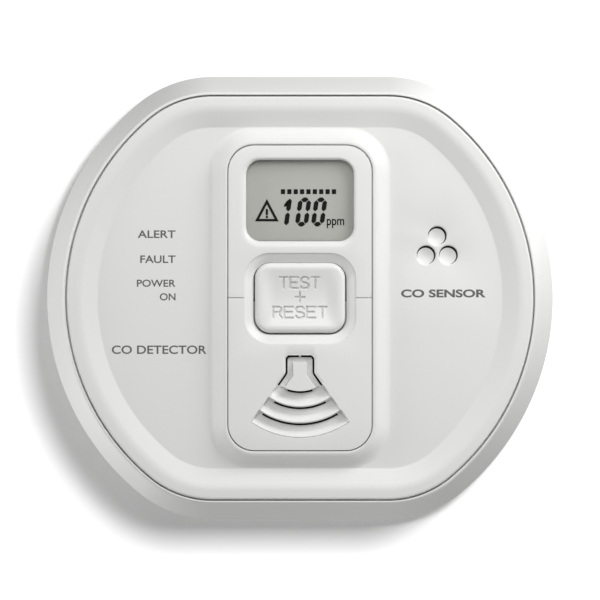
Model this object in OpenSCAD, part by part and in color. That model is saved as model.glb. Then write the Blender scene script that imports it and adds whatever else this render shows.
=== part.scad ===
// Carbon monoxide detector: wall plate, two-part housing, display, test button,
// sounder, gas sensor and circuit board, each as its own piece.
// Pieces are drawn lying flat, x to the right, y up the wall and z out of the wall,
// and upright() then turns them so that +Z is up and the front faces -Y.

/* [Overall] */
// Distance from the middle to the centre of a corner's curve: sets the width and height
corner_reach = 32.195; // [31.51:0.137:41.1]
// Radius of the four corners: with corner_reach it sets the width and height
corner_r = 27.8; // [26.8:0.1:33.4]
// Distance from the wall to the front of the centre panel
body_d = 44; // [42:1:54]

/* [Housing] */
// Wall thickness of the two shells
wall = 2; // [1.6:0.1:2.4]
// Width of the drafted side wall as seen from the front
band_w = 4.7; // [3.6:0.1:5.6]
// Distance from the wall to the widest line of the side wall
wide_z = 10; // [6:1:16]
// Gap between the rear rim and the wall
rim_gap = 1; // [0.5:0.1:2]
// How far the side wall leans in from its widest line to its rear rim
rim_lean = 1.2; // [0:0.1:2]
// Distance from the wall to the outside of the rear panel
floor_z = 6; // [5:0.5:8]
// Open groove between the side wall and the front cover
groove = 0.3; // [0.2:0.05:0.6]
// Width of the step that the front cover rests on
rest_w = 2.1; // [1.6:0.1:2.6]
// Depth of the step that the front cover rests on
rest_d = 1; // [0.6:0.1:1.6]

/* [Front cover] */
// Depth of the dish below the centre panel
dish_d = 3; // [2:0.1:4]
// Height of the outer ridge over the dish
ridge_h = 1.9; // [1:0.1:2.4]
// Flat width of the outer ridge
ridge_flat = 2; // [1:0.1:3]
// Width of the slope from the ridge to the dish
ridge_slope = 4.5; // [3:0.1:6]
// Depth of the skirt that goes inside the side wall
skirt_d = 5; // [3:0.5:8]
// Width of the slope round the centre panel
flank_w = 4.3; // [3:0.1:5]
// Width of the ledge under the centre panel
ledge_w = 1.2; // [1:0.1:1.4]
// Diameter of each gas hole
gas_hole_d = 4.4; // [3:0.1:5]
// Distance between the centres of the gas holes
gas_pitch = 5.24; // [5:0.02:6.4]
// Distance of the gas holes to the right of the centre
gas_x = 32.3; // [31:0.1:35]
// Distance of the gas holes above the centre
gas_y = 11.6; // [8:0.1:15]

/* [Centre panel] */
// Width of the centre panel
panel_w = 33.8; // [32:0.1:38]
// Height of the centre panel
panel_h = 71.8; // [70:0.1:74]
// Corner radius of the centre panel
panel_r = 6.1; // [5:0.1:8]
// Thickness of the centre panel
panel_t = 2.1; // [1.8:0.1:2.4]
// Clearance round the centre panel
panel_gap = 0.15; // [0.1:0.05:0.3]
// Width of the display opening
view_w = 25.3; // [22:0.1:27]
// Height of the display opening
view_h = 19.1; // [16:0.1:20]
// Corner radius of the display opening
view_r = 3.4; // [2:0.1:5]
// Height of the display's middle above the panel's middle
view_y = 22.9; // [22:0.1:24]
// Border of the display window that is hidden behind the panel
view_lap = 1.1; // [0.8:0.1:1.4]
// Thickness of the display window
window_t = 1; // [0.8:0.1:1.2]

/* [Button] */
// Width of the test button
button_w = 21.3; // [18:0.1:22]
// Height of the test button
button_h = 16.5; // [14:0.1:17]
// Corner radius of the test button
button_r = 3.7; // [3:0.1:5]
// Gap at the sides of the test button
button_gap = 0.3; // [0.2:0.05:0.5]
// Gap over the test button, at its hinge
top_gap = 0.15; // [0.15:0.05:0.3]
// Gap under the test button, at the edge that swings in
foot_gap = 0.5; // [0.45:0.05:0.6]
// Angle that the test button swings through, in degrees
button_swing = 3; // [1.5:0.5:3]
// Diameter of the test button's hinge pin
hinge_d = 1.6; // [1.4:0.1:1.8]
// Clearance of the hinge pin in its ears, on the radius
hinge_fit = 0.05; // [0.02:0.01:0.1]
// Width of the slope round the test button
recess_slope = 2.2; // [1.6:0.1:2.6]
// Depth of the slope round the test button
recess_d = 2.6; // [1.5:0.1:2.8]
// Width of the flange that keeps the test button in
flange_w = 1.5; // [1:0.1:2]
// Diameter of the stem that reaches the switch
stem_d = 4; // [3:0.1:6]

/* [Sounder grille] */
// Height of the point of the fan below the middle
fan_y = 12.75; // [12:0.05:14]
// Half of the fan's opening angle
fan_angle = 34.5; // [28:0.5:38]
// Radius of the first slit
fan_start = 9.2; // [8:0.1:10]
// Distance between slits
slit_pitch = 3.8; // [3.4:0.1:4]
// Width of a slit
slit_w = 0.45; // [0.3:0.05:0.6]
// Number of slits
slits = 3; // [2:1:3]
// Depth of the valley behind a slit
valley_d = 1.3; // [0.8:0.1:1.5]
// Width of the valley behind a slit
valley_w = 1.5; // [1:0.1:1.8]
// Half width of the neck over the fan
neck_half = 3.2; // [2.8:0.1:4]
// Width of the channel round the neck's island
neck_channel = 1.65; // [1.2:0.05:1.8]
// Distance from the fan's point to the top of the neck
neck_drop = 1; // [0.8:0.1:2]

/* [Wall plate] */
// Width of the wall plate
plate_w = 80; // [72:1:86]
// Height of the wall plate
plate_h = 62; // [56:1:66]
// Corner radius of the wall plate
plate_r = 8; // [4:0.5:12]
// Thickness of the wall plate
plate_t = 2; // [1.5:0.1:2.5]
// Distance between the two screw slots
screw_pitch = 60; // [50:1:62]
// Width of a screw slot
screw_slot_w = 4.5; // [4:0.1:5]
// Length of a screw slot from end to end
screw_slot_l = 8; // [7:0.5:10]
// Distance that the detector lifts before it comes off the hooks
lift = 10; // [8:0.5:11]
// Distance of the hooks from the middle, to the side
hook_x = 25; // [23:1:27]
// Height of the upper hooks above the middle
hook_up = 20; // [18:1:22]
// Distance of the lower hooks below the middle
hook_down = 12; // [10:1:14]
// Width of a hook's stem
hook_stem_w = 4; // [3:0.1:5]
// Height of a hook's stem
hook_stem_h = 3; // [2.5:0.1:4]
// Width of a hook's head
hook_head_w = 8; // [7:0.1:9]
// Height of a hook's head
hook_head_h = 5; // [4:0.1:6]
// Clearance of the hooks in the rear housing
hook_gap = 0.3; // [0.2:0.05:0.5]

/* [Circuit board] */
// Distance from the wall to the back of the circuit board
board_z = 26; // [25.8:0.1:27]
// Thickness of the circuit board
board_t = 1.6; // [1:0.1:2]
// Distance of the board's edge inside the housing's outline
board_inset = 10.5; // [10:0.1:14]
// Distance of the screw bosses from the middle, to the side
boss_x = 38; // [36:0.5:40]
// Distance of the screw bosses from the middle, up and down
boss_y = 24; // [20:0.5:26]
// Diameter of a screw boss
boss_d = 7.5; // [6.5:0.1:8.5]
// Diameter of the housing screws
screw_d = 2.9; // [2.5:0.1:3.5]
// Diameter of the screws' heads
head_d = 5.6; // [5:0.1:6.2]
// Height of the screws' heads
head_t = 2; // [1.5:0.1:2.4]
// Diameter of the board screws
board_screw_d = 2.2; // [2:0.1:2.6]

/* [Sounder] */
// Diameter of the sounder's chamber
sounder_d = 30; // [28:0.5:31]
// Distance of the sounder below the middle
sounder_y = 26.2; // [26:0.1:27]
// Wall thickness of the sounder's chamber
sounder_wall = 1.5; // [1:0.1:2]
// Diameter of the brass disc
disc_d = 26.6; // [25:0.1:26.8]
// Diameter of the ceramic on the brass disc
ceramic_d = 18; // [14:0.5:20]
// Diameter of the opening in the chamber
mouth_d = 12; // [8:0.5:14]

/* [Gas sensor] */
// Diameter of the sensor cell
cell_d = 19; // [17:0.5:20]
// Height of the sensor cell
cell_h = 8; // [6:0.5:9]

/* [Battery] */
// Diameter of the lithium cell
battery_d = 16.6; // [14:0.1:16.6]
// Length of the lithium cell
battery_l = 34.5; // [30:0.5:36]
// Distance of the lithium cell below the middle
battery_y = 29; // [27:0.5:30]

/* [Power switch] */
// Distance that the power slider travels
slider_travel = 3; // [2:0.5:4]
// Height of the power slider above the middle
slider_y = 34; // [33:0.5:35]
// Width of the power slider's knob
slider_w = 8; // [6:0.5:9]
// Height of the power slider's knob
slider_h = 5; // [4:0.5:6]

/* [Hidden] */
$fn = 96;

eps = 0.01;

// The direction from the middle to a corner's centre. With 137 it makes a right triangle,
// so the centres, and the seams between the curves, lie on round numbers.
corner_run = [88, 105];
corner_x = corner_reach * corner_run[0] / 137;
corner_y = corner_reach * corner_run[1] / 137;
side_r = corner_reach + corner_r;
half_h = corner_y + corner_r;

// Levels, measured out from the wall
dish_z = body_d - dish_d;
under_z = dish_z - wall;
ridge_z = dish_z + ridge_h;
rim_z = ridge_z - 0.9;
rest_z = rim_z - rest_d;
panel_z = body_d - panel_t;
ledge_z = panel_z - 1.7;
lens_z = panel_z + window_t;
recess_z = body_d - recess_d;
lip_z = recess_z - 1.2;
front_z = board_z + board_t;
floor_top = floor_z + wall;

// Front cover
cover_in = band_w + groove;
skirt_in = band_w + rest_w + groove;
ridge_in = cover_in + 1.2;
slope_in = ridge_in + ridge_flat;
dish_in = slope_in + ridge_slope;
ring_in = dish_in + 1.2;
open_w = panel_w + 2 * panel_gap;
open_h = panel_h + 2 * panel_gap;
open_r = panel_r + panel_gap;
flank_out = flank_w + 0.7;
skin_t = 0.8;
guide_x = -25.3;
guide_ys = [14.05, 8.15, 1.5];
guide_d = 2.6;
guide_fit = 0.1;

// Button and switch
hole_w = button_w + 2 * button_gap;
hole_h = button_h + top_gap + foot_gap;
hole_r = button_r + button_gap;
hole_y = (top_gap - foot_gap) / 2;
button_z = body_d - 0.3;
flange_t = 1.2;
flange_gap = 0.05;
flange_z = lip_z - flange_gap - flange_t;
switch_size = 6.2;
switch_h = 3.6;
plunger_d = 3.4;
plunger_fit = 0.1;
plunger_top = front_z + switch_h + 2;
tip_gap = 0.05;
hinge_y = button_h / 2 + 1.55;
hinge_z = lip_z - 1.2;
ear_x = button_w / 2 - 3.2;
ear_w = 1.8;
ear_h = 2.5;
switch_travel = hinge_y * tan(button_swing);

// Screws and bosses
boss_split = 16;
well_d = head_d + 0.8;
head_z = floor_z + 2;
board_posts = [[-44, 5], [44, -6], [27, 34]];
post_d = 6;
thread_fit = 0.05;

// Sounder
chamber_top = under_z - 0.2;
disc_z = front_z + 3.6;
disc_t = 0.3;
seat_r = disc_d / 2 - 1;
fan_end = fan_start + slits * slit_pitch - 0.4;
cloth_z = panel_z - 0.4;
cloth_w = 2 * fan_end * sin(fan_angle) + 3;
cloth_h = fan_end - neck_drop + 1.4;
slit_edge = 0.12;

// Gas sensor
cap_t = 2;
cap_z = front_z + cell_h;
gasket_z = cap_z + cap_t;
screen_t = 0.4;
gasket_hole = 14;

// Battery
battery_z = board_z - battery_d / 2 - 0.4;

// Display
glass_t = 2.2;
glass_z = panel_z - 0.3 - glass_t;
glass_w = view_w + 2 * view_lap;
glass_h = view_h + 2 * view_lap;
holder_wall = 0.9;
holder_top = lip_z - 0.2;

// ---- shapes that several pieces share ----

module upright() {
    rotate([90, 0, 0]) children();
}

// Mirrors its children to the left for sx = -1 and to below for sy = -1
module flip(sx, sy) {
    mirror([sx < 0 ? 1 : 0, 0, 0]) mirror([0, sy < 0 ? 1 : 0, 0]) children();
}

// The sector of a round side
module side_sector() {
    polygon([[0, 0], [corner_run[0], -corner_run[1]], [2 * corner_run[0], 0], corner_run]);
}

// The sector of the upper right corner
module corner_sector() {
    translate([corner_x, corner_y]) polygon([[0, 0], corner_run, [0, corner_run[1]]]);
}

// The housing's outline, moved in by inset all round: round sides, flat top and bottom
module outline(inset) {
    square([2 * corner_x, 2 * (half_h - inset)], center = true);
    for (sx = [-1, 1]) flip(sx, 1) intersection() {
        circle(side_r - inset);
        side_sector();
    }
    for (sx = [-1, 1], sy = [-1, 1]) flip(sx, sy) intersection() {
        translate([corner_x, corner_y]) circle(corner_r - inset);
        corner_sector();
    }
}

module slab(inset, from, to) {
    translate([0, 0, from]) linear_extrude(to - from) outline(inset);
}

// Carries a profile of [inset, z] points round the housing's outline
module round_body(profile) {
    for (sx = [-1, 1]) flip(sx, 1) intersection() {
        rotate_extrude() polygon([for (p = profile) [side_r - p[0], p[1]]]);
        linear_extrude(2 * body_d) side_sector();
    }
    for (sx = [-1, 1], sy = [-1, 1]) flip(sx, sy) intersection() {
        translate([corner_x, corner_y, 0])
            rotate_extrude() polygon([for (p = profile) [corner_r - p[0], p[1]]]);
        linear_extrude(2 * body_d) corner_sector();
    }
    for (sy = [-1, 1]) flip(1, sy) translate([-corner_x, 0, 0]) rotate([90, 0, 90])
        linear_extrude(2 * corner_x) polygon([for (p = profile) [half_h - p[0], p[1]]]);
}

module rounded(w, h, r) {
    square([w, h - 2 * r], center = true);
    square([w - 2 * r, h], center = true);
    for (sx = [-1, 1], sy = [-1, 1]) translate([sx * (w / 2 - r), sy * (h / 2 - r)]) circle(r);
}

module slot(l, w) {
    square([l - w, w], center = true);
    for (sx = [-1, 1]) translate([sx * (l - w) / 2, 0]) circle(w / 2);
}

module rounded_slab(w, h, r, from, to) {
    translate([0, 0, from]) linear_extrude(to - from) rounded(w, h, r);
}

// Carries a profile of [distance outwards, z] points round a rounded rectangle
module round_frame(w, h, r, profile) {
    for (sx = [-1, 1], sy = [-1, 1]) flip(sx, sy) translate([w / 2 - r, h / 2 - r, 0])
        rotate_extrude(angle = 90) polygon([for (p = profile) [r + p[0], p[1]]]);
    for (sx = [-1, 1]) flip(sx, 1) translate([0, h / 2 - r, 0]) rotate([90, 0, 0])
        linear_extrude(h - 2 * r) polygon([for (p = profile) [w / 2 + p[0], p[1]]]);
    for (sy = [-1, 1]) flip(1, sy) translate([r - w / 2, 0, 0]) rotate([90, 0, 90])
        linear_extrude(w - 2 * r) polygon([for (p = profile) [h / 2 + p[0], p[1]]]);
}

// Rounds to a thousandth, so that the pieces of a sweep meet exactly
function fine(x) = round(1000 * x) / 1000;

// Points along a smooth S from one [x, z] point to another, level at both ends
function ease(from, to, steps = 6) = [
    for (i = [0:steps]) let (t = i / steps)
        [fine(from[0] + (to[0] - from[0]) * t), fine(from[1] + (to[1] - from[1]) * (1 - cos(180 * t)) / 2)]
];

module block(w, h, from, to) {
    translate([-w / 2, -h / 2, from]) cube([w, h, to - from]);
}

module disc(d, from, to) {
    translate([0, 0, from]) cylinder(d = d, h = to - from);
}

// The same, standing on a piece whose top it cuts through
module drill(d, from, to) {
    disc(d, from - eps, to + eps);
}

module at_bosses() {
    for (sx = [-1, 1], sy = [-1, 1]) translate([sx * boss_x, sy * boss_y, 0]) children();
}

module at_posts() {
    for (p = board_posts) translate([p[0], p[1], 0]) children();
}

module at_gas_holes() {
    for (turn = [90, 210, 330]) translate([gas_x, gas_y, 0]) rotate(turn)
        translate([gas_pitch / sqrt(3), 0, 0]) children();
}

module at_sensor() {
    translate([gas_x, gas_y, 0]) children();
}

module at_sounder() {
    translate([0, -sounder_y, 0]) children();
}

module at_display() {
    translate([0, view_y, 0]) children();
}

module at_hooks() {
    for (sx = [-1, 1], y = [hook_up, -hook_down]) translate([sx * hook_x, y, 0]) children();
}

// ---- wall plate ----

module mounting_plate() {
    color("gainsboro") upright() {
        difference() {
            rounded_slab(plate_w, plate_h, plate_r, 0, plate_t);
            for (sx = [-1, 1]) translate([sx * screw_pitch / 2, 0, -eps])
                linear_extrude(plate_t + 2 * eps) slot(screw_slot_l, screw_slot_w);
        }
        at_hooks() {
            block(hook_head_w + 2, hook_head_h + 3, plate_t, floor_z - hook_gap);
            block(hook_stem_w, hook_stem_h, floor_z - hook_gap, floor_top + hook_gap);
            block(hook_head_w, hook_head_h, floor_top + hook_gap, floor_top + hook_gap + 1.6);
        }
        for (sy = [-1, 1]) translate([0, sy * (plate_h / 2 - 4), 0]) block(plate_w - 30, 1.5, plate_t, plate_t + 1.5);
    }
}

// ---- shells ----

module hook_slot() {
    translate([0, 0, floor_z - eps]) linear_extrude(wall + 2 * eps) {
        translate([-hook_stem_w / 2 - hook_gap, -lift])
            square([hook_stem_w + 2 * hook_gap, lift + hook_stem_h / 2]);
        translate([-hook_head_w / 2 - hook_gap, -lift - hook_head_h / 2 - hook_gap])
            square([hook_head_w + 2 * hook_gap, hook_head_h + 2 * hook_gap]);
    }
}

module rear_housing() {
    lean = band_w - 0.65;
    inner = [
        [band_w + rest_w, rest_z - 2.5],
        [lean + wall, rest_z - 4],
        [wall, wide_z],
        [rim_lean + wall, rim_gap]
    ];
    color("whitesmoke") upright() {
        round_body(concat([
            [rim_lean, rim_gap],
            [0, wide_z],
            [lean, rim_z - 0.35],
            [band_w - 0.35, rim_z],
            [band_w, rim_z],
            [band_w, rest_z],
            [band_w + rest_w, rest_z]
        ], inner));
        difference() {
            union() {
                slab(wall / 2, floor_z, floor_top);
                at_bosses() disc(boss_d, floor_top - eps, boss_split - 0.2);
                translate([0, -battery_y, 0]) for (sx = [-1, 1]) translate([sx * 12, 0, 0])
                    block(2, battery_d * 0.7, floor_top - eps, battery_z - battery_d / 2 + 1.2);
            }
            at_bosses() {
                drill(screw_d + 0.5, floor_z, boss_split);
                drill(well_d, floor_z, head_z + head_t);
            }
            at_hooks() hook_slot();
            translate([slider_travel / 2, slider_y, 0])
                block(slider_w / 2 + slider_travel + 2 * hook_gap, slider_h - 2 + 2 * hook_gap,
                    floor_z - eps, floor_top + eps);
            translate([0, -battery_y, battery_z]) rotate([0, 90, 0])
                cylinder(d = battery_d + 0.6, h = battery_l, center = true);
        }
    }
}

module front_cover() {
    color("white") upright() {
        round_body(concat(
            [[cover_in, rest_z], [cover_in, rim_z + 0.3], [cover_in + 0.4, ridge_z - 0.15], [ridge_in, ridge_z]],
            ease([slope_in, ridge_z], [dish_in, dish_z]),
            [
                [ring_in, dish_z],
                [ring_in, under_z],
                [skirt_in + wall * 0.75, under_z],
                [skirt_in + wall * 0.75, rest_z - skirt_d],
                [skirt_in, rest_z - skirt_d],
                [skirt_in, rest_z]
            ]
        ));
        round_frame(open_w, open_h, open_r, concat(
            [[0, panel_z], [0, body_d - 0.15]],
            ease([0.5, body_d - 0.05], [flank_w, dish_z]),
            [
                [flank_out, dish_z],
                [flank_out, under_z],
                [2.2, under_z],
                [1.6, ledge_z],
                [-ledge_w, ledge_z],
                [-ledge_w, panel_z]
            ]
        ));
        difference() {
            union() {
                slab(ring_in, under_z, dish_z);
                at_bosses() disc(boss_d, boss_split, under_z + eps);
                at_posts() disc(post_d, front_z, under_z + eps);
            }
            rounded_slab(open_w + 2 * flank_out, open_h + 2 * flank_out, open_r + flank_out,
                under_z - eps, dish_z + eps);
            at_gas_holes() drill(gas_hole_d, under_z, dish_z);
            at_bosses() drill(screw_d + 2 * thread_fit, boss_split, boss_split + 14);
            at_posts() drill(board_screw_d + 2 * thread_fit, front_z, front_z + 7);
            for (y = guide_ys) translate([guide_x, y, 0])
                drill(guide_d + 2 * guide_fit, under_z, dish_z - skin_t - eps);
        }
    }
}

// Keeps the part of its children above the joint between the two panel pieces, or below it
module half(sy) {
    intersection() {
        children();
        translate([-panel_w, sy > 0 ? 0 : -panel_h, 0]) cube([2 * panel_w, panel_h, body_d + 1]);
    }
}

// The sloping sides round the button, with the lip that keeps the button in
module recess_frame() {
    translate([0, hole_y, 0]) round_frame(hole_w, hole_h, hole_r, [
        [0, lip_z],
        [0, recess_z],
        [recess_slope - 0.3, body_d - 0.25],
        [recess_slope, body_d],
        [recess_slope + 1, body_d],
        [recess_slope + 1, lip_z]
    ]);
}

module along_hinge() {
    translate([0, hinge_y, hinge_z]) rotate([0, 90, 0]) children();
}

// The two ears that hold the button's hinge pin
module hinge_ears() {
    difference() {
        for (sx = [-1, 1]) translate([sx * ear_x, hinge_y, 0]) block(ear_w, ear_h, hinge_z - 1.4, lip_z + eps);
        along_hinge() cylinder(d = hinge_d + 2 * hinge_fit, h = button_w, center = true);
    }
}

module panel_plate() {
    difference() {
        rounded_slab(panel_w, panel_h, panel_r, panel_z, body_d);
        translate([0, hole_y, 0]) rounded_slab(hole_w + 2 * recess_slope + 2,
            hole_h + 2 * recess_slope + 2, hole_r + recess_slope + 1, panel_z - eps, body_d + eps);
    }
}

module display_bezel() {
    color("white") upright() {
        difference() {
            half(1) panel_plate();
            at_display() {
                rounded_slab(view_w, view_h, view_r, panel_z - eps, body_d + eps);
                rounded_slab(view_w + 2 * view_lap + 0.3, view_h + 2 * view_lap + 0.3,
                    view_r, panel_z - eps, lens_z);
            }
        }
        half(1) recess_frame();
        hinge_ears();
    }
}

// The neck over the fan, moved in by inset all round and ending on the first slit's circle
module neck(inset) {
    run = inset / cos(fan_angle);
    half_w = neck_half - inset;
    bend = -(half_w + run) / tan(fan_angle);
    low = -fan_start * 1.2;
    wide = -low * tan(fan_angle) - run;
    intersection() {
        polygon([
            [-half_w, -neck_drop - inset], [half_w, -neck_drop - inset], [half_w, bend],
            [wide, low], [-wide, low], [-half_w, bend]
        ]);
        circle(fan_start + 0.2);
    }
}

// Turns a profile of [radius, z] points about the fan's point, over the fan's angle
module fan_ring(profile) {
    rotate(-90 - fan_angle) rotate_extrude(angle = 2 * fan_angle) polygon(profile);
}

module grille_panel() {
    valley_z = body_d - valley_d;
    color("white") upright() {
        difference() {
            half(-1) panel_plate();
            translate([0, -fan_y, 0]) {
                fan_ring([
                    [fan_start, valley_z], [fan_end, valley_z],
                    [fan_end, body_d + eps], [fan_start, body_d + eps]
                ]);
                translate([0, 0, valley_z]) linear_extrude(valley_d + eps) difference() {
                    neck(0.05);
                    neck(neck_channel);
                }
                translate([0, 0, panel_z - eps]) linear_extrude(valley_z - panel_z + 2 * eps) difference() {
                    neck(slit_edge);
                    neck(slit_edge + slit_w);
                    translate([0, -neck_drop]) square([0.7, 4], center = true);
                    translate([0, -fan_start]) square([panel_w, 3], center = true);
                }
                for (i = [0:slits - 1]) {
                    r = fan_start + i * slit_pitch;
                    fan_ring([
                        [r, panel_z - eps], [r + slit_w, panel_z - eps],
                        [r + slit_w, valley_z + eps], [r, valley_z + eps]
                    ]);
                }
            }
        }
        half(-1) recess_frame();
        translate([0, -fan_y, 0]) for (i = [0:slits - 1]) {
            foot = fan_start + i * slit_pitch + slit_w + valley_w;
            crest = i < slits - 1 ? fan_start + (i + 1) * slit_pitch : fan_end;
            fan_ring(concat(
                [[crest, valley_z]],
                ease([foot, valley_z], [crest - 0.15, body_d - 0.1], 4),
                [[crest, body_d - 0.1]]
            ));
        }
    }
}

// ---- display ----

module display_window() {
    color("lightgray", 0.4) upright() at_display()
        rounded_slab(view_w + 2 * view_lap, view_h + 2 * view_lap, view_r, panel_z, lens_z);
}

module lcd_glass() {
    color("darkseagreen") upright() at_display() {
        block(glass_w, glass_h, glass_z, glass_z + glass_t / 2);
        translate([0, 0.6, 0]) block(glass_w, glass_h - 1.2, glass_z + glass_t / 2, glass_z + glass_t);
    }
}

module lcd_holder() {
    w = glass_w + 2 * holder_wall + 0.2;
    h = glass_h + 2 * holder_wall + 0.2;
    color("dimgray") upright() at_display() difference() {
        block(w, h, front_z, holder_top);
        block(glass_w + 0.2, glass_h + 0.2, glass_z, body_d);
        block(glass_w - 2, glass_h - 7, front_z - eps, body_d);
        for (sy = [-1, 1]) translate([0, sy * (glass_h / 2 - 1.6), 0])
            block(glass_w - 3, 2.2, front_z - eps, body_d);
    }
}

module contact_strips() {
    color("darkslategray") upright() at_display()
        for (sy = [-1, 1]) translate([0, sy * (glass_h / 2 - 1.6), 0])
            block(glass_w - 3.4, 1.8, front_z, glass_z);
}

// ---- test button and its switch ----

module test_button() {
    top_t = 1.5;
    side_t = 1.4;
    edge = 1.1;
    arm_w = 2 * ear_x - ear_w - 0.6;
    color("white") upright() difference() {
        union() {
            round_frame(button_w, button_h, button_r, concat(
                [[-button_r + 0.5, flange_z], [0, flange_z], [0, button_z - edge]],
                [for (a = [15:25:90]) [fine(-edge + edge * cos(a)), fine(button_z - edge + edge * sin(a))]],
                [[-button_r + 0.5, button_z]]
            ));
            block(button_w - 2 * button_r + 1, button_h - 2 * button_r + 1, flange_z, button_z);
            intersection() {
                rounded_slab(button_w + 2 * flange_w, button_h + 2 * flange_w, button_r + flange_w,
                    flange_z, flange_z + flange_t);
                translate([0, -button_h / 2, 0]) block(2 * button_w, button_h, 0, body_d);
            }
            translate([0, hinge_y / 2 + button_h / 4 - 0.2, 0])
                block(arm_w, hinge_y - button_h / 2 + 0.4, hinge_z - hinge_d / 2, hinge_z + hinge_d / 2);
        }
        rounded_slab(button_w - 2 * side_t, button_h - 2 * side_t, button_r - side_t,
            flange_z - eps, button_z - top_t - 0.6);
        translate([0, 0, button_z + 60 - 0.6]) sphere(60);
    }
    color("white") upright() {
        along_hinge() cylinder(d = hinge_d, h = 2 * ear_x + ear_w + 0.6, center = true);
        disc(stem_d, plunger_top + tip_gap + stem_d / 2, button_z - top_t - 0.5);
        translate([0, 0, plunger_top + tip_gap + stem_d / 2]) sphere(stem_d / 2);
    }
}

module switch_body() {
    color("black") upright() difference() {
        block(switch_size, switch_size, front_z, front_z + switch_h);
        drill(plunger_d + 2 * plunger_fit, front_z + 1, front_z + switch_h);
    }
    color("silver") upright() for (sx = [-1, 1], sy = [-1, 1])
        translate([sx * (switch_size / 2 + 0.7), sy * 2.25, 0]) block(1.4, 0.7, front_z, front_z + 0.3);
}

module switch_plunger() {
    color("saddlebrown") upright() disc(plunger_d, front_z + 1 + switch_travel + 0.1, plunger_top);
}

// ---- circuit board and fasteners ----

module circuit_board() {
    color("seagreen") upright() difference() {
        slab(board_inset, board_z, front_z);
        at_bosses() drill(boss_d + 1, board_z, front_z);
        at_posts() drill(board_screw_d + 0.4, board_z, front_z);
    }
}

module cross_screw(d, head, height, from, to) {
    difference() {
        disc(head, from, from + height);
        for (turn = [0, 90]) rotate(turn) block(head * 0.6, 0.9, from - eps, from + height * 0.6);
    }
    disc(d, from + height - eps, to - d);
    translate([0, 0, to - d]) cylinder(d1 = d, d2 = d / 3, h = d);
}

module housing_screws() {
    color("silver") upright() at_bosses() cross_screw(screw_d, head_d, head_t, head_z, boss_split + 12);
}

module board_screws() {
    color("silver") upright() at_posts()
        cross_screw(board_screw_d, board_screw_d * 2, 1.6, board_z - 1.6, front_z + 6);
}

// ---- gas sensor ----

module sensor_cell() {
    color("silver") upright() at_sensor() {
        disc(cell_d, front_z + 0.8, cap_z);
        disc(cell_d - 3, front_z, front_z + 0.8);
    }
}

module sensor_pins() {
    color("gold") upright() at_sensor() for (sx = [-1, 1]) translate([sx * 5, 0, 0])
        disc(1, board_z - 1.5, board_z);
}

module sensor_cap() {
    color("dimgray") upright() at_sensor() difference() {
        disc(cell_d, cap_z, gasket_z);
        drill(gasket_hole - 4, cap_z + 1, gasket_z);
        drill(3, cap_z, gasket_z);
    }
}

module sensor_filter() {
    color("black") upright() at_sensor() disc(gasket_hole - 4.2, cap_z + 1, gasket_z - 0.2);
}

module sensor_gasket() {
    color("darkgray") upright() at_sensor() difference() {
        disc(cell_d, gasket_z, under_z);
        drill(gasket_hole, gasket_z, under_z);
    }
}

module gas_screen() {
    color("lightgray") upright() at_sensor() disc(gasket_hole - 0.4, under_z - screen_t, under_z);
}

// ---- sounder ----

module sounder_chamber() {
    color("dimgray") upright() at_sounder() difference() {
        union() {
            disc(sounder_d, front_z, chamber_top);
            disc(mouth_d + 2 * sounder_wall, chamber_top - eps, cloth_z);
        }
        drill(sounder_d - 2 * sounder_wall, front_z, disc_z + disc_t);
        drill(2 * seat_r, disc_z, chamber_top - sounder_wall);
        drill(mouth_d, chamber_top - sounder_wall, cloth_z);
    }
}

module sounder_disc() {
    color("goldenrod") upright() at_sounder() disc(disc_d, disc_z, disc_z + disc_t);
}

module sounder_ceramic() {
    color("ivory") upright() at_sounder() disc(ceramic_d, disc_z - 0.3, disc_z);
}

module sounder_contacts() {
    color("gold") upright() at_sounder() {
        disc(1, front_z, disc_z - 0.3);
        translate([ceramic_d / 2 + 2, 0, 0]) disc(1, front_z, disc_z);
    }
}

module sounder_cloth() {
    color("black") upright() translate([0, -fan_y - (fan_end + neck_drop) / 2, 0])
        rounded_slab(cloth_w, cloth_h, 2, cloth_z, panel_z);
}

// ---- battery ----

module along_battery() {
    translate([0, -battery_y, battery_z]) rotate([0, 90, 0]) children();
}

module battery_cell() {
    color("silver") upright() along_battery() {
        cylinder(d = battery_d - 0.4, h = battery_l, center = true);
        translate([0, 0, battery_l / 2 - eps]) cylinder(d = 6, h = 1);
    }
}

module battery_sleeve() {
    color("steelblue") upright() along_battery() difference() {
        cylinder(d = battery_d, h = battery_l - 1, center = true);
        cylinder(d = battery_d - 0.4, h = battery_l + 1, center = true);
    }
}

module battery_tabs() {
    color("silver") upright() {
        for (sx = [-1, 1]) {
            end = battery_l / 2 + (sx > 0 ? 1 : 0);
            translate([sx > 0 ? end : -end - 0.3, -battery_y - 2, battery_z - 2])
                cube([0.3, 4, board_z - battery_z + 2]);
        }
    }
}

module battery_cradle() {
    color("dimgray") upright() difference() {
        translate([0, -battery_y, 0]) block(24, battery_d + 2, board_z - 4, board_z);
        along_battery() cylinder(d = battery_d + 0.1, h = battery_l, center = true);
    }
}

// ---- lamps ----

module led(y) {
    translate([guide_x, y, 0]) {
        block(3.2, 1.8, front_z, front_z + 0.8);
        disc(1.6, front_z + 0.8 - eps, front_z + 1.2);
    }
}

module alarm_led() {
    color("red") upright() led(guide_ys[0]);
}

module fault_led() {
    color("orange") upright() led(guide_ys[1]);
}

module power_led() {
    color("lime") upright() led(guide_ys[2]);
}

module light_guides() {
    bar_z = under_z - 3;
    color("white", 0.5) upright() {
        for (y = guide_ys) translate([guide_x, y, 0]) disc(guide_d, front_z + 1.5, dish_z - skin_t - 0.1);
        translate([guide_x, (guide_ys[0] + guide_ys[2]) / 2, 0])
            block(1.6, guide_ys[0] - guide_ys[2] + 2, bar_z, bar_z + 1.5);
    }
}

// ---- parts on the board ----

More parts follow.
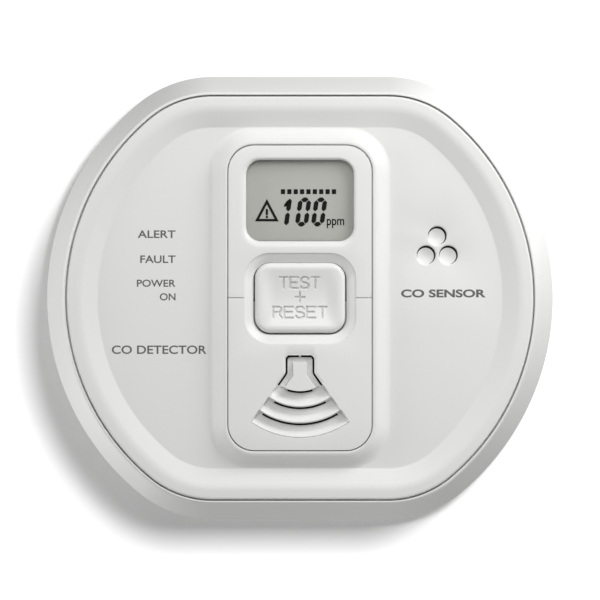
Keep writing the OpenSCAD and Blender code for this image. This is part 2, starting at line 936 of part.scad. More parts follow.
module controller_chip() {
    body = 10;
    color("black") upright() translate([-20, 12, 0]) block(body, body, board_z - 1.5, board_z - 0.1);
    color("silver") upright() translate([-20, 12, 0]) for (turn = [0:90:270], i = [-4:4]) rotate(turn)
        translate([body / 2 + 0.5, i, 0]) block(1.2, 0.4, board_z - 0.5, board_z);
}

module amplifier_chip() {
    color("black") upright() translate([20, 22, 0]) block(5, 4, board_z - 1.5, board_z - 0.1);
    color("silver") upright() translate([20, 22, 0]) for (sy = [-1, 1], i = [-1.5:1])
        translate([i * 1.27, sy * 2.5, 0]) block(0.45, 1.2, board_z - 0.5, board_z);
}

module boost_coil() {
    color("dimgray") upright() translate([27, -20, 0]) {
        block(9, 9, front_z, front_z + 1.2);
        disc(4, front_z + 1.2 - eps, front_z + 6);
        disc(8.4, front_z + 4.8, front_z + 6);
    }
    color("peru") upright() translate([27, -20, 0]) difference() {
        disc(7.4, front_z + 1.2, front_z + 4.8);
        drill(4, front_z + 1.2, front_z + 4.8);
    }
}

module capacitors() {
    color("darkslateblue") upright() for (p = [[-38, -10], [-30, -14], [36, -12]])
        translate([p[0], p[1], 0]) {
            block(6.6, 6.6, front_z, front_z + 0.8);
            disc(6.3, front_z + 0.8 - eps, front_z + 7.7);
        }
}

module chip_parts() {
    color("tan") upright() {
        for (i = [0:5], j = [0:2]) translate([-31 + 3.2 * i, 26 + 2.6 * j, 0])
            block(2, 1.25, board_z - 0.6, board_z);
        for (i = [0:3], j = [0:1]) translate([24 + 3.4 * i, -28 - 2.8 * j, 0])
            block(2, 1.25, front_z, front_z + 0.6);
    }
}

module timing_crystal() {
    color("silver") upright() translate([-20, 2, 0]) rounded_slab(7, 3, 1.4, board_z - 2.4, board_z);
}

module test_header() {
    color("black") upright() translate([24, 27, 0]) block(7.6, 2.5, front_z, front_z + 2.5);
    color("gold") upright() translate([24, 27, 0]) for (i = [-1:1]) translate([2.54 * i, 0, 0])
        block(0.64, 0.64, front_z + 2.5, front_z + 8);
}

// ---- power switch ----

module power_switch() {
    color("silver") upright() translate([0, slider_y, 0]) difference() {
        translate([slider_travel / 2, 0, 0]) block(12, 6, board_z - 4.5, board_z);
        translate([slider_travel / 2, 0, 0]) block(3 + slider_travel + 2 * hook_gap, 2.6, board_z - 5, board_z - 1);
    }
}

module power_slider() {
    stem = slider_w / 2 - 0.4;
    color("gainsboro") upright() translate([0, slider_y, 0]) {
        block(slider_w, slider_h, floor_z - 1.8, floor_z - 0.15);
        for (i = [-1:1]) translate([1.8 * i, 0, 0]) block(0.7, slider_h, floor_z - 2.4, floor_z - 1.8);
        block(stem, slider_h - 2, floor_z - 0.15, floor_top + 0.15);
        block(slider_w + 4, slider_h, floor_top + 0.15, floor_top + 1.2);
        block(3, 2, floor_top + 1.2, board_z - 1.6);
    }
}

module rating_label() {
    color("silver") upright() translate([0, -43.5, 0]) block(44, 7, floor_z - 0.15, floor_z);
}

mounting_plate();
rear_housing();
front_cover();
display_bezel();
grille_panel();
display_window();
lcd_glass();
lcd_holder();
contact_strips();
test_button();
switch_body();
switch_plunger();
circuit_board();
housing_screws();
board_screws();
sensor_cell();
sensor_pins();
sensor_cap();
sensor_filter();
sensor_gasket();
gas_screen();
sounder_chamber();
sounder_disc();
sounder_ceramic();
sounder_contacts();
sounder_cloth();
battery_cell();
battery_sleeve();
battery_tabs();
battery_cradle();
alarm_led();
fault_led();
power_led();
light_guides();
controller_chip();
amplifier_chip();
boost_coil();
capacitors();
chip_parts();
timing_crystal();
test_header();
power_switch();
power_slider();
rating_label();
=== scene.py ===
import math

import bmesh
import bpy
import numpy as np
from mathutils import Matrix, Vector
from mathutils.geometry import delaunay_2d_cdt

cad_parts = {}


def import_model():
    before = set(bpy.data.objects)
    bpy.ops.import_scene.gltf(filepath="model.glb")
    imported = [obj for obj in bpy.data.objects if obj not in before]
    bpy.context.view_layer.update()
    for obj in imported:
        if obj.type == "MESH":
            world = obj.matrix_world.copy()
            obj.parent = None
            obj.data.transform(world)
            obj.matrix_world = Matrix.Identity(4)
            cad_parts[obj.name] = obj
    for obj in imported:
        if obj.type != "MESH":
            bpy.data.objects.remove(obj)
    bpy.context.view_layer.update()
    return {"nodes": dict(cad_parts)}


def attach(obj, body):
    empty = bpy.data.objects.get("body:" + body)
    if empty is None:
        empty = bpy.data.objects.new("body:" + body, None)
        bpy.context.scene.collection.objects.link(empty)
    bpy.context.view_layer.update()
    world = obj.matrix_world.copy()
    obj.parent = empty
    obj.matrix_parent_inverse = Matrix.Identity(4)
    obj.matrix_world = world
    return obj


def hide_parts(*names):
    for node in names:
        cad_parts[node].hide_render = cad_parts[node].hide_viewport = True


# Every value of the object is in millimetres, in a flat frame: x to the right, y up the wall and z out
# of the wall. upright() turns a piece so that +Z is up and the front faces -Y, in metres.

# ---- housing ----
CORNER_REACH = 32.195
CORNER_R = 27.8
CORNER_RUN = (88, 105, 137)
CORNER_X = CORNER_REACH * CORNER_RUN[0] / CORNER_RUN[2]
CORNER_Y = CORNER_REACH * CORNER_RUN[1] / CORNER_RUN[2]
SIDE_R = CORNER_REACH + CORNER_R
HALF_H = CORNER_Y + CORNER_R
BODY_D = 44.0
WALL = 2.0
BAND_W = 4.7
WIDE_Z = 10.0
RIM_GAP = 1.0
RIM_LEAN = 1.2
FLOOR_Z = 6.0
FLOOR_TOP = 8.0
FOOT_IN = 2.533
FLOOR_IN = 2.267
RIM_Z = 42.0
REST_Z = 41.0
REST_W = 2.1

# ---- front cover ----
DISH_Z = 41.0
UNDER_Z = 39.0
RIDGE_Z = 42.9
COVER_IN = 5.0
SKIRT_IN = 7.1
SKIRT_D = 5.0
SLOPE_IN = 8.2
DISH_IN = 12.7
RING_IN = 13.9
FLANK_W = 4.3
GAS_HOLE_D = 4.4
GAS_PITCH = 5.24
GAS_AT = (32.3, 11.6)
PLUG_R = 1.97
PLUG_SHIFT = (0.15, 0.25)
PLUG_Z = 40.1
PLUG_CURVE = 0.13

# ---- centre panel ----
PANEL_W = 33.8
PANEL_H = 71.8
PANEL_R = 6.1
PANEL_GAP = 0.15
PANEL_Z = 41.9
OPEN_W = PANEL_W + 2 * PANEL_GAP
OPEN_H = PANEL_H + 2 * PANEL_GAP
OPEN_R = PANEL_R + PANEL_GAP
LEDGE_W = 1.2
LEDGE_Z = 40.2
LENS_Z = 42.9
VIEW_W = 25.3
VIEW_H = 19.1
VIEW_R = 3.4
VIEW_Y = 22.9
VIEW_LAP = 1.1
LCD_Z = 41.6
SEGMENT_TOP = 41.63
LIP_Z = 40.2
RECESS_Z = 42.4
RECESS_SLOPE = 2.2

# ---- test button ----
BUTTON_W = 21.3
BUTTON_H = 16.5
BUTTON_R = 3.7
BUTTON_Z = 43.4
HOLE_W = BUTTON_W + 0.6
HOLE_H = BUTTON_H + 0.45
HOLE_R = BUTTON_R + 0.3
HOLE_Y = -0.175
HINGE_Y = BUTTON_H / 2 + 1.55
HINGE_Z = LIP_Z - 1.2
FLANGE_Z = LIP_Z - 1.25
EAR_X = BUTTON_W / 2 - 3.2

# ---- sounder grille ----
FAN_Y = 12.75
FAN_ANGLE = 35.5
FAN_START = 9.2
FAN_END = 20.2
SLIT_PITCH = 3.8
SLIT_W = 0.45
SLIT_ANGLES = (17.0, 26.5, 30.5)
VALLEY_D = 1.75
VALLEY_W = 1.5
NECK_HALF = 3.5
NECK_CHANNEL = 1.65
NECK_DROP = 0.65

# ---- rear panel ----
BOSSES = ((38, 24), (-38, 24), (38, -24), (-38, -24))
BOSS_D = 7.5
BOSS_SPLIT = 16.0
WELL_D = 6.4
HEAD_TOP = 10.0
SCREW_HOLE = 3.4
POSTS = ((-44, 5), (44, -6), (27, 34))
POST_R = 3.0
BOARD_FRONT = 27.6
HOOKS = ((25, 20), (-25, 20), (25, -12), (-25, -12))
SLIDER_AT = (1.5, 34)

# ---- room and camera: levels, and metres ----
SKY_LEVEL = 0.22
WALL_LEVEL = 1.02
CAMERA_DISTANCE = 5.0
CAMERA_LENS = 1264.0
CAMERA_AIM = -0.0005
AIM = (0, -0.04, 0)
WALL_Y = 0.0003
ROOM_FRONT = -1.0
ROOM_FOOT = -0.4

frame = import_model()


# ---- loops: closed lines in the flat frame, as (points, outward normals) ----

def track(parts):
    """Joins parts (centre at start, centre at end, radius, angle at start, angle at end, count).
    Along a part the centre and the angle a go evenly from start to end, the point is
    centre + radius (cos a, sin a), and (cos a, sin a) is its normal."""
    points = []
    normals = []
    for first, last, radius, start, end, count in parts:
        t = np.linspace(0, 1, count, endpoint=False)[:, None]
        angle = np.radians(start + (end - start) * t)
        normal = np.hstack([np.cos(angle), np.sin(angle)])
        centre = np.array(first, float) * (1 - t) + np.array(last, float) * t
        points.append(centre + radius * normal)
        normals.append(normal)
    return np.vstack(points), np.vstack(normals)


def outline_loop():
    """The housing's outline: two arcs of SIDE_R round the middle, four corner arcs of CORNER_R
    and two straight lines at HALF_H, each meeting the next with the same direction."""
    turn = math.degrees(math.atan2(CORNER_RUN[1], CORNER_RUN[0]))
    x = CORNER_X
    y = CORNER_Y
    return track([
        ((0, 0), (0, 0), SIDE_R, -turn, turn, 96),
        ((x, y), (x, y), CORNER_R, turn, 90, 32),
        ((x, 0), (-x, 0), HALF_H, 90, 90, 28),
        ((-x, y), (-x, y), CORNER_R, 90, 180 - turn, 32),
        ((0, 0), (0, 0), SIDE_R, 180 - turn, 180 + turn, 96),
        ((-x, -y), (-x, -y), CORNER_R, 180 + turn, 270, 32),
        ((-x, 0), (x, 0), HALF_H, 270, 270, 28),
        ((x, -y), (x, -y), CORNER_R, 270, 360 - turn, 32),
    ])


def rounded_loop(w, h, r, centre=(0, 0), edge=12, corner=14):
    """A rectangle w by h with corners of radius r. It starts at the middle of the right side,
    so that its first half is the upper half."""
    x = w / 2 - r
    y = h / 2 - r
    half = edge // 2
    points, normals = track([
        ((0, 0), (0, y), w / 2, 0, 0, half),
        ((x, y), (x, y), r, 0, 90, corner),
        ((x, 0), (-x, 0), h / 2, 90, 90, edge),
        ((-x, y), (-x, y), r, 90, 180, corner),
        ((0, y), (0, -y), w / 2, 180, 180, edge),
        ((-x, -y), (-x, -y), r, 180, 270, corner),
        ((-x, 0), (x, 0), h / 2, 270, 270, edge),
        ((x, -y), (x, -y), r, 270, 360, corner),
        ((0, -y), (0, 0), w / 2, 360, 360, half),
    ])
    return points + np.array(centre, float), normals


def circle_loop(r, centre=(0, 0), count=64):
    """A circle: centre + r (cos a, sin a)."""
    return track([(centre, centre, r, 0, 360, count)])


def corner_loop(points):
    """Any polygon, with the normal at a corner pointing between its two sides' normals, long
    enough to keep both sides parallel when the polygon is moved along it."""
    points = np.array(points, float)
    ahead = np.roll(points, -1, axis=0) - points
    ahead /= np.linalg.norm(ahead, axis=1)[:, None]
    area = np.sum(points[:, 0] * np.roll(points[:, 1], -1) - points[:, 1] * np.roll(points[:, 0], -1))
    side = np.stack([ahead[:, 1], -ahead[:, 0]], 1) * np.sign(area)
    back = np.roll(side, 1, axis=0)
    share = 1 + np.sum(side * back, axis=1)[:, None]
    return points, (side + back) / share


def ribbon_loop(path, half, steps=8):
    """A band of half width half along an open path, with half a circle round each end: the
    path moved to both sides along its normals, joined by arcs about its two ends."""
    path = np.array(path, float)
    along = np.gradient(path, axis=0)
    along /= np.linalg.norm(along, axis=1)[:, None]
    side = np.stack([along[:, 1], -along[:, 0]], 1)
    start = math.degrees(math.atan2(-side[0, 1], -side[0, 0]))
    end = math.degrees(math.atan2(side[-1, 1], side[-1, 0]))
    turn = np.radians(np.linspace(0, 180, steps + 1)[1:-1])
    first = np.radians(start) + turn
    last = np.radians(end) + turn
    cap_a = path[0] + half * np.stack([np.cos(first), np.sin(first)], 1)
    cap_b = path[-1] + half * np.stack([np.cos(last), np.sin(last)], 1)
    points = np.vstack([path + half * side, cap_b, (path - half * side)[::-1], cap_a])
    normals = np.vstack([side, (cap_b - path[-1]) / half, -side[::-1], (cap_a - path[0]) / half])
    return points, normals


def moved(loop, out):
    """The loop moved out along its normals."""
    return loop[0] + out * loop[1]


# ---- surfaces: (points with x, y, z, list of face arrays) ----

def bent(corners, steps=6):
    """A line through corners (across, z, radius) with each corner replaced by an arc of its
    radius that touches both sides. Both ends stay where they are."""
    places = np.array([c[:2] for c in corners], float)
    line = [places[:1]]
    for i in range(1, len(corners) - 1):
        radius = corners[i][2]
        back = places[i - 1] - places[i]
        ahead = places[i + 1] - places[i]
        back /= np.linalg.norm(back)
        ahead /= np.linalg.norm(ahead)
        half = math.acos(max(-1, min(1, float(back @ ahead)))) / 2
        if radius == 0 or half > 1.56:
            line.append(places[i:i + 1])
            continue
        middle = (back + ahead) / np.linalg.norm(back + ahead)
        centre = places[i] + middle * radius / math.sin(half)
        a = places[i] + back * radius / math.tan(half) - centre
        b = places[i] + ahead * radius / math.tan(half) - centre
        whole = math.pi - 2 * half
        t = np.linspace(0, 1, steps + 1)[:, None]
        line.append(centre + (np.sin((1 - t) * whole) * a + np.sin(t * whole) * b) / math.sin(whole))
    line.append(places[-1:])
    return np.vstack(line)


def sweep(loop, profile, ring=False):
    """Carries a profile of (distance out, z) round a loop: the point of row i and column j is
    the loop's point j moved out by the row's distance, at the row's z."""
    profile = np.array(profile, float)
    rows = len(profile)
    count = len(loop[0])
    xy = loop[0][None] + profile[:, None, :1] * loop[1][None]
    z = np.repeat(profile[:, 1:], count, axis=1)[:, :, None]
    points = np.concatenate([xy, z], axis=2).reshape(-1, 3)
    i = np.arange(rows if ring else rows - 1)[:, None] * count
    j = np.arange(count)[None]
    ahead = (i + count) % (rows * count)
    k = (j + 1) % count
    quads = np.stack([i + j, i + k, ahead + k, ahead + j], axis=2).reshape(-1, 4)
    return points, [quads]


def inside(points, loops):
    """For each point, whether a line from it to the right crosses the loops an odd number of
    times, which is so inside the outer loop and outside the holes."""
    hit = np.zeros(len(points), bool)
    for line in loops:
        a = line
        b = np.roll(line, -1, axis=0)
        for part in np.array_split(np.arange(len(points)), max(1, len(points) // 4000)):
            x = points[part, 0][:, None]
            y = points[part, 1][:, None]
            over = (a[:, 1] > y) != (b[:, 1] > y)
            rise = np.where(b[:, 1] == a[:, 1], 1e-9, b[:, 1] - a[:, 1])
            cross = a[:, 0] + (y - a[:, 1]) * (b[:, 0] - a[:, 0]) / rise
            hit[part] ^= (np.sum(over & (x < cross), axis=1) % 2).astype(bool)
    return hit


def sheet(loops, z, extra=None):
    """Fills the first loop apart from the others with triangles. z is one height, or a
    function of the points. extra are further points, kept where they lie inside."""
    xy = np.vstack(loops)
    ends = np.cumsum([len(line) for line in loops])
    starts = ends - [len(line) for line in loops]
    first = np.arange(len(xy))
    last = first + 1
    last[ends - 1] = starts
    if extra is not None:
        xy = np.vstack([xy, extra[inside(extra, loops)]])
    edges = np.stack([first, last], 1).tolist()
    found = delaunay_2d_cdt(xy.tolist(), edges, [], 0, 1e-7)
    source = np.array([ids[0] if ids else -1 for ids in found[3]])
    placed = np.array([tuple(v) for v in found[0]])
    placed[source >= 0] = xy[source[source >= 0]]
    xy = placed
    triangles = np.array(found[2])
    middle = xy[triangles].mean(axis=1)
    triangles = triangles[inside(middle, loops)]
    height = z(xy) if callable(z) else np.full(len(xy), float(z))
    return np.column_stack([xy, height]), [triangles]


def tube(loop, profile):
    """A closed ring: a closed profile carried round a loop."""
    return sweep(loop, profile, ring=True)


def solid(loops, bottom, top, edge, extra=None, steps=4):
    """A plate that fills the first loop apart from the others, from bottom to the height
    top(points). Its upper edges are quarter circles of radius edge: a step of angle a lies
    edge (1 - sin a) inside the side and edge (1 - cos a) below the top."""
    angle = np.linspace(0, math.pi / 2, steps + 1)
    parts = []
    rims = []
    feet = []
    for number, loop in enumerate(loops):
        sign = 1 if number == 0 else -1
        inset = np.concatenate([[0.0], edge * (1 - np.sin(angle))[::-1]]) * sign
        drop = np.concatenate([[0.0], edge * (1 - np.cos(angle))[::-1]])
        profile = np.column_stack([-inset, drop])
        points, faces = sweep(loop, profile)
        xy = points[:, :2]
        height = top(xy) - points[:, 2]
        count = len(loop[0])
        height[:count] = bottom
        parts.append((np.column_stack([xy, height]), faces))
        rims.append(points[-count:, :2])
        feet.append(loop[0])
    parts.append(sheet(rims, top, extra))
    parts.append(sheet(feet, bottom))
    return parts


def prism(loop, bottom, top):
    """The loop pulled straight from bottom to top, with both ends filled."""
    return [sweep(loop, [(0, bottom), (0, top)]), sheet([loop[0]], top), sheet([loop[0]], bottom)]


def turned(part, axis):
    """The same points with their axes passed round, so that z lies along x."""
    points, faces = part
    return np.roll(points, axis, axis=1), faces


def upright(points):
    """Flat millimetres to upright metres: (x, y, z) becomes (x, -z, y) / 1000."""
    return np.column_stack([points[:, 0], -points[:, 2], points[:, 1]]) / 1000


def new_object(name, data):
    """A new object at the origin that holds data, in the scene."""
    item = bpy.data.objects.new(name, data)
    bpy.context.scene.collection.objects.link(item)
    return item


def piece(name, parts, body, material, node=None, angle=32):
    """One mesh from all parts. Points that lie together become one, normals face outwards and
    edges sharper than angle stay sharp. It rides on body and stands for node if one is given."""
    offset = 0
    points = []
    faces = []
    for part_points, part_faces in parts:
        points.append(part_points)
        faces.extend([f + offset for f in part_faces])
        offset += len(part_points)
    points = np.vstack(points)
    _, keep, index = np.unique(np.round(points * 2000 + 0.137).astype(np.int64), axis=0,
                               return_index=True, return_inverse=True)
    index = index.reshape(-1)
    listed = []
    for group in faces:
        group = index[group]
        whole = np.all(group != np.roll(group, 1, axis=1), axis=1)
        listed.extend(group[whole].tolist())
        if group.shape[1] == 4:
            listed.extend(thin_quads(group[~whole]))
    mesh = bpy.data.meshes.new(name)
    mesh.from_pydata(upright(points[keep]).tolist(), [], listed)
    work = bmesh.new()
    work.from_mesh(mesh)
    bmesh.ops.recalc_face_normals(work, faces=work.faces)
    work.to_mesh(mesh)
    work.free()
    mesh.shade_smooth()
    mesh.set_sharp_from_angle(angle=math.radians(angle))
    item = new_object(name, mesh)
    mesh.materials.append(material)
    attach(item, body)
    if node:
        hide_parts(node)


def thin_quads(group):
    """Quads with two equal neighbours, as triangles."""
    if len(group) == 0:
        return []
    same = group == np.roll(group, 1, axis=1)
    one = same.sum(axis=1) == 1
    rows = group[one]
    mask = ~same[one]
    return rows[mask].reshape(-1, 3).tolist()


def smooth_step(t):
    """0 below 0, 1 above 1, and 3 t t - 2 t t t between."""
    t = np.clip(t, 0, 1)
    return t * t * (3 - 2 * t)


def grid(x0, x1, y0, y1, step):
    """Points of a square grid over a rectangle, with spacing step."""
    x = np.arange(x0, x1, step)
    y = np.arange(y0, y1, step)
    xx, yy = np.meshgrid(x, y)
    return np.stack([xx.ravel(), yy.ravel()], 1)


def segment_distance(points, strokes):
    """Distance from each point to the nearest of the lines in strokes. A stroke is a list of
    places joined by straight lines."""
    best = np.full(len(points), 1e9)
    for stroke in strokes:
        line = np.array(stroke, float)
        for a, b in zip(line[:-1], line[1:]):
            run = b - a
            t = np.clip(((points - a) @ run) / max(run @ run, 1e-9), 0, 1)[:, None]
            best = np.minimum(best, np.linalg.norm(points - a - t * run, axis=1))
    return best


# ---- materials ----

MATERIALS = {}


def new_material(name):
    """An empty node material, kept in MATERIALS, with its output and its coordinates in the
    object's own space."""
    material = bpy.data.materials.new(name)
    MATERIALS[name] = material
    material.use_nodes = True
    tree = material.node_tree
    tree.nodes.clear()
    out = tree.nodes.new("ShaderNodeOutputMaterial")
    place = tree.nodes.new("ShaderNodeTexCoord")
    return material, tree, out, place.outputs["Object"]


def new_shader(name, metal=0.0):
    """A node material whose surface is one Principled shader."""
    material, tree, out, place = new_material(name)
    shader = tree.nodes.new("ShaderNodeBsdfPrincipled")
    shader.inputs["Metallic"].default_value = metal
    tree.links.new(shader.outputs["BSDF"], out.inputs["Surface"])
    return material, tree, shader, place


def noise(tree, place, scale, detail=3.0):
    """A noise texture, scale in bumps per metre."""
    node = tree.nodes.new("ShaderNodeTexNoise")
    node.inputs["Scale"].default_value = scale
    node.inputs["Detail"].default_value = detail
    tree.links.new(place, node.inputs["Vector"])
    return node.outputs["Fac"]


def spread(tree, value, low, high):
    """Maps a value from 0..1 to low..high."""
    node = tree.nodes.new("ShaderNodeMapRange")
    node.inputs["To Min"].default_value = low
    node.inputs["To Max"].default_value = high
    tree.links.new(value, node.inputs["Value"])
    return node.outputs["Result"]


def colours(tree, value, first, second):
    """Mixes two colours by a value from 0 to 1."""
    node = tree.nodes.new("ShaderNodeMix")
    node.data_type = "RGBA"
    node.inputs[6].default_value = (*first, 1)
    node.inputs[7].default_value = (*second, 1)
    tree.links.new(value, node.inputs[0])
    return node.outputs[2]


def bump(tree, value, depth):
    """A bump of that depth in metres."""
    node = tree.nodes.new("ShaderNodeBump")
    node.inputs["Strength"].default_value = 1.0
    node.inputs["Distance"].default_value = depth
    tree.links.new(value, node.inputs["Height"])
    return node.outputs["Normal"]


def surface(name, first, second, rough=(0.35, 0.45), metal=0.0, patch=60.0, grain=2500.0,
            depth=0.000004, sheen=0.5, through=0.0, glow=0.0):
    """Mixes two close colours in soft patches, varies the roughness with finer noise and adds a
    fine moulded grain as bump."""
    material, tree, shader, place = new_shader(name, metal)
    shader.inputs["Specular IOR Level"].default_value = sheen
    shader.inputs["Transmission Weight"].default_value = through
    colour = colours(tree, noise(tree, place, patch), first, second)
    tree.links.new(colour, shader.inputs["Base Color"])
    tree.links.new(spread(tree, noise(tree, place, patch * 9), *rough), shader.inputs["Roughness"])
    tree.links.new(bump(tree, noise(tree, place, grain, 2.0), depth), shader.inputs["Normal"])
    if glow:
        tree.links.new(colour, shader.inputs["Emission Color"])
        shader.inputs["Emission Strength"].default_value = glow
    return material


def wave(tree, place, scale, direction):
    """Waves across one axis."""
    node = tree.nodes.new("ShaderNodeTexWave")
    node.bands_direction = direction
    node.inputs["Scale"].default_value = scale
    tree.links.new(place, node.inputs["Vector"])
    return node


def striped(name, first, second, scale, direction, rough=0.4, metal=0.0, depth=0.0):
    """Bands of two colours along one axis, for windings, fibres and pleats."""
    material, tree, shader, place = new_shader(name, metal)
    bands = wave(tree, place, scale, direction)
    bands.inputs["Distortion"].default_value = 0.3
    tree.links.new(colours(tree, bands.outputs["Fac"], first, second), shader.inputs["Base Color"])
    tree.links.new(spread(tree, noise(tree, place, 900), rough, rough + 0.12), shader.inputs["Roughness"])
    if depth:
        tree.links.new(bump(tree, bands.outputs["Fac"], depth), shader.inputs["Normal"])
    return material


def woven(name, first, second, scale, depth):
    """Two crossed waves multiplied, as threads going over and under."""
    material, tree, shader, place = new_shader(name)
    cross = tree.nodes.new("ShaderNodeMath")
    cross.operation = "MULTIPLY"
    for number, direction in enumerate(("X", "Z")):
        threads = wave(tree, place, scale, direction)
        tree.links.new(threads.outputs["Fac"], cross.inputs[number])
    tree.links.new(colours(tree, cross.outputs[0], first, second), shader.inputs["Base Color"])
    tree.links.new(bump(tree, cross.outputs[0], depth), shader.inputs["Normal"])
    tree.links.new(spread(tree, noise(tree, place, 700), 0.7, 0.85), shader.inputs["Roughness"])
    return material


def board_finish(name):
    """Green lacquer with faint darker tracks: a voronoi edge pattern stands for the copper."""
    material, tree, shader, place = new_shader(name)
    cells = tree.nodes.new("ShaderNodeTexVoronoi")
    cells.distance = "MANHATTAN"
    cells.inputs["Scale"].default_value = 260
    tree.links.new(place, cells.inputs["Vector"])
    value = spread(tree, cells.outputs["Distance"], 0.0, 1.0)
    tree.links.new(colours(tree, value, (0.02, 0.16, 0.07), (0.03, 0.24, 0.1)), shader.inputs["Base Color"])
    tree.links.new(bump(tree, value, 0.00002), shader.inputs["Normal"])
    tree.links.new(spread(tree, noise(tree, place, 500), 0.25, 0.4), shader.inputs["Roughness"])
    return material


def clear_finish(name, tint, gloss):
    """Clear plastic: light passes straight through, tinted, with a faint reflection over it that
    a fine noise makes uneven."""
    material, tree, out, place = new_material(name)
    through = tree.nodes.new("ShaderNodeBsdfTransparent")
    shine = tree.nodes.new("ShaderNodeBsdfGlossy")
    mix = tree.nodes.new("ShaderNodeMixShader")
    darker = tuple(c * 0.985 for c in tint)
    tree.links.new(colours(tree, noise(tree, place, 90), tint, darker), through.inputs["Color"])
    tree.links.new(spread(tree, noise(tree, place, 400), 0.16, 0.24), shine.inputs["Roughness"])
    mix.inputs["Fac"].default_value = gloss
    tree.links.new(through.outputs["BSDF"], mix.inputs[1])
    tree.links.new(shine.outputs["BSDF"], mix.inputs[2])
    tree.links.new(mix.outputs["Shader"], out.inputs["Surface"])
    return material


WHITE_A = (0.828, 0.832, 0.815)
WHITE_B = (0.806, 0.810, 0.793)
PALE_A = (0.842, 0.846, 0.83)
PALE_B = (0.82, 0.824, 0.808)
white = surface("white_plastic", WHITE_A, WHITE_B, (0.42, 0.5))
panel_white = surface("panel_plastic", PALE_A, PALE_B, (0.36, 0.44))
button_white = surface("button_plastic", PALE_A, PALE_B, (0.3, 0.38))
ink_grey = surface("grey_print", (0.11, 0.11, 0.107), (0.13, 0.13, 0.126), (0.5, 0.6), grain=6000)
ink_black = surface("lcd_segments", (0.003, 0.003, 0.003), (0.006, 0.006, 0.005), (0.6, 0.7), sheen=0.1)

surface("plate_plastic", (0.72, 0.72, 0.70), (0.68, 0.68, 0.66), (0.5, 0.6), depth=0.00001)
clear_finish("clear_window", (0.985, 0.985, 0.98), 0.012)
surface("lcd", (0.52, 0.53, 0.495), (0.55, 0.56, 0.525), (0.3, 0.4), patch=40, depth=0.0)
surface("black_plastic", (0.012, 0.012, 0.012), (0.02, 0.02, 0.02), (0.4, 0.55))
surface("black_rubber", (0.01, 0.01, 0.01), (0.018, 0.018, 0.018), (0.75, 0.9))
surface("brown_plastic", (0.16, 0.07, 0.03), (0.2, 0.09, 0.04), (0.4, 0.5))
board_finish("board")
surface("steel", (0.55, 0.55, 0.56), (0.65, 0.65, 0.66), (0.22, 0.4), metal=1.0, patch=400)
surface("gold_pins", (0.78, 0.55, 0.2), (0.85, 0.62, 0.26), (0.2, 0.3), metal=1.0)
surface("grey_plastic", (0.25, 0.25, 0.25), (0.3, 0.3, 0.3), (0.45, 0.55))
surface("carbon_felt", (0.01, 0.01, 0.01), (0.05, 0.05, 0.05), (0.9, 1.0), patch=3000, depth=0.00006)
surface("grey_rubber", (0.15, 0.15, 0.15), (0.18, 0.18, 0.18), (0.7, 0.85))
# The gas screen's threads are near black as painted shade: it fills the crescents left open in the gas
# holes with the shade that falls under the holes' rims.
woven("pale_mesh", (0.03, 0.03, 0.03), (0.1, 0.1, 0.098), 900, 0.00005)
surface("brass", (0.72, 0.5, 0.2), (0.8, 0.58, 0.26), (0.25, 0.4), metal=1.0, patch=300)
surface("ceramic", (0.75, 0.72, 0.65), (0.82, 0.8, 0.73), (0.3, 0.4), patch=500)
woven("black_cloth", (0.002, 0.002, 0.002), (0.012, 0.012, 0.012), 1400, 0.00004)
surface("blue_film", (0.02, 0.08, 0.3), (0.03, 0.1, 0.36), (0.2, 0.3))
surface("red_lamp", (0.6, 0.02, 0.02), (0.7, 0.04, 0.03), (0.1, 0.2))
surface("amber_lamp", (0.8, 0.35, 0.03), (0.85, 0.4, 0.05), (0.1, 0.2))
surface("green_lamp", (0.05, 0.5, 0.1), (0.07, 0.6, 0.13), (0.1, 0.2))
surface("clear_plastic", (0.8, 0.82, 0.83), (0.86, 0.88, 0.88), (0.1, 0.2), through=0.6)
surface("chip_plastic", (0.015, 0.015, 0.016), (0.03, 0.03, 0.031), (0.5, 0.65), patch=900)
striped("copper_coil", (0.45, 0.16, 0.06), (0.72, 0.3, 0.12), 1500, "Y", 0.25, 1.0, 0.00008)
surface("capacitor_sleeve", (0.02, 0.03, 0.08), (0.03, 0.045, 0.11), (0.25, 0.35))
surface("chip_ceramic", (0.42, 0.32, 0.2), (0.5, 0.4, 0.28), (0.5, 0.6), patch=1500)
surface("label_film", (0.78, 0.78, 0.77), (0.74, 0.74, 0.73), (0.3, 0.4), patch=120)

SLOT_NODES = {
    "plate_plastic": ("mounting_plate",),
    "clear_window": ("display_window",),
    "lcd": ("lcd_glass",),
    "black_plastic": ("lcd_holder", "switch_body", "battery_cradle", "sounder_chamber", "test_header",
                      "power_slider"),
    "black_rubber": ("contact_strips",),
    "brown_plastic": ("switch_plunger",),
    "board": ("circuit_board",),
    "steel": ("housing_screws", "board_screws", "sensor_cell", "battery_cell", "battery_tabs",
              "timing_crystal", "power_switch"),
    "gold_pins": ("sensor_pins", "sounder_contacts"),
    "grey_plastic": ("sensor_cap",),
    "carbon_felt": ("sensor_filter",),
    "grey_rubber": ("sensor_gasket",),
    # gas screen: near-black painted shade for the crescents in the gas holes
    "pale_mesh": ("gas_screen",),
    "brass": ("sounder_disc",),
    "ceramic": ("sounder_ceramic",),
    "black_cloth": ("sounder_cloth",),
    "blue_film": ("battery_sleeve",),
    "red_lamp": ("alarm_led",),
    "amber_lamp": ("fault_led",),
    "green_lamp": ("power_led",),
    "clear_plastic": ("light_guides",),
    "chip_plastic": ("controller_chip", "amplifier_chip"),
    "copper_coil": ("boost_coil",),
    "capacitor_sleeve": ("capacitors",),
    "chip_ceramic": ("chip_parts",),
    "label_film": ("rating_label",),
}


def dress_nodes():
    """Gives every CAD node that stays its own finish."""
    for slot, names in SLOT_NODES.items():
        for name in names:
            node = frame["nodes"][name]
            node.data.materials.clear()
            node.data.materials.append(MATERIALS[slot])


# ---- housing pieces ----

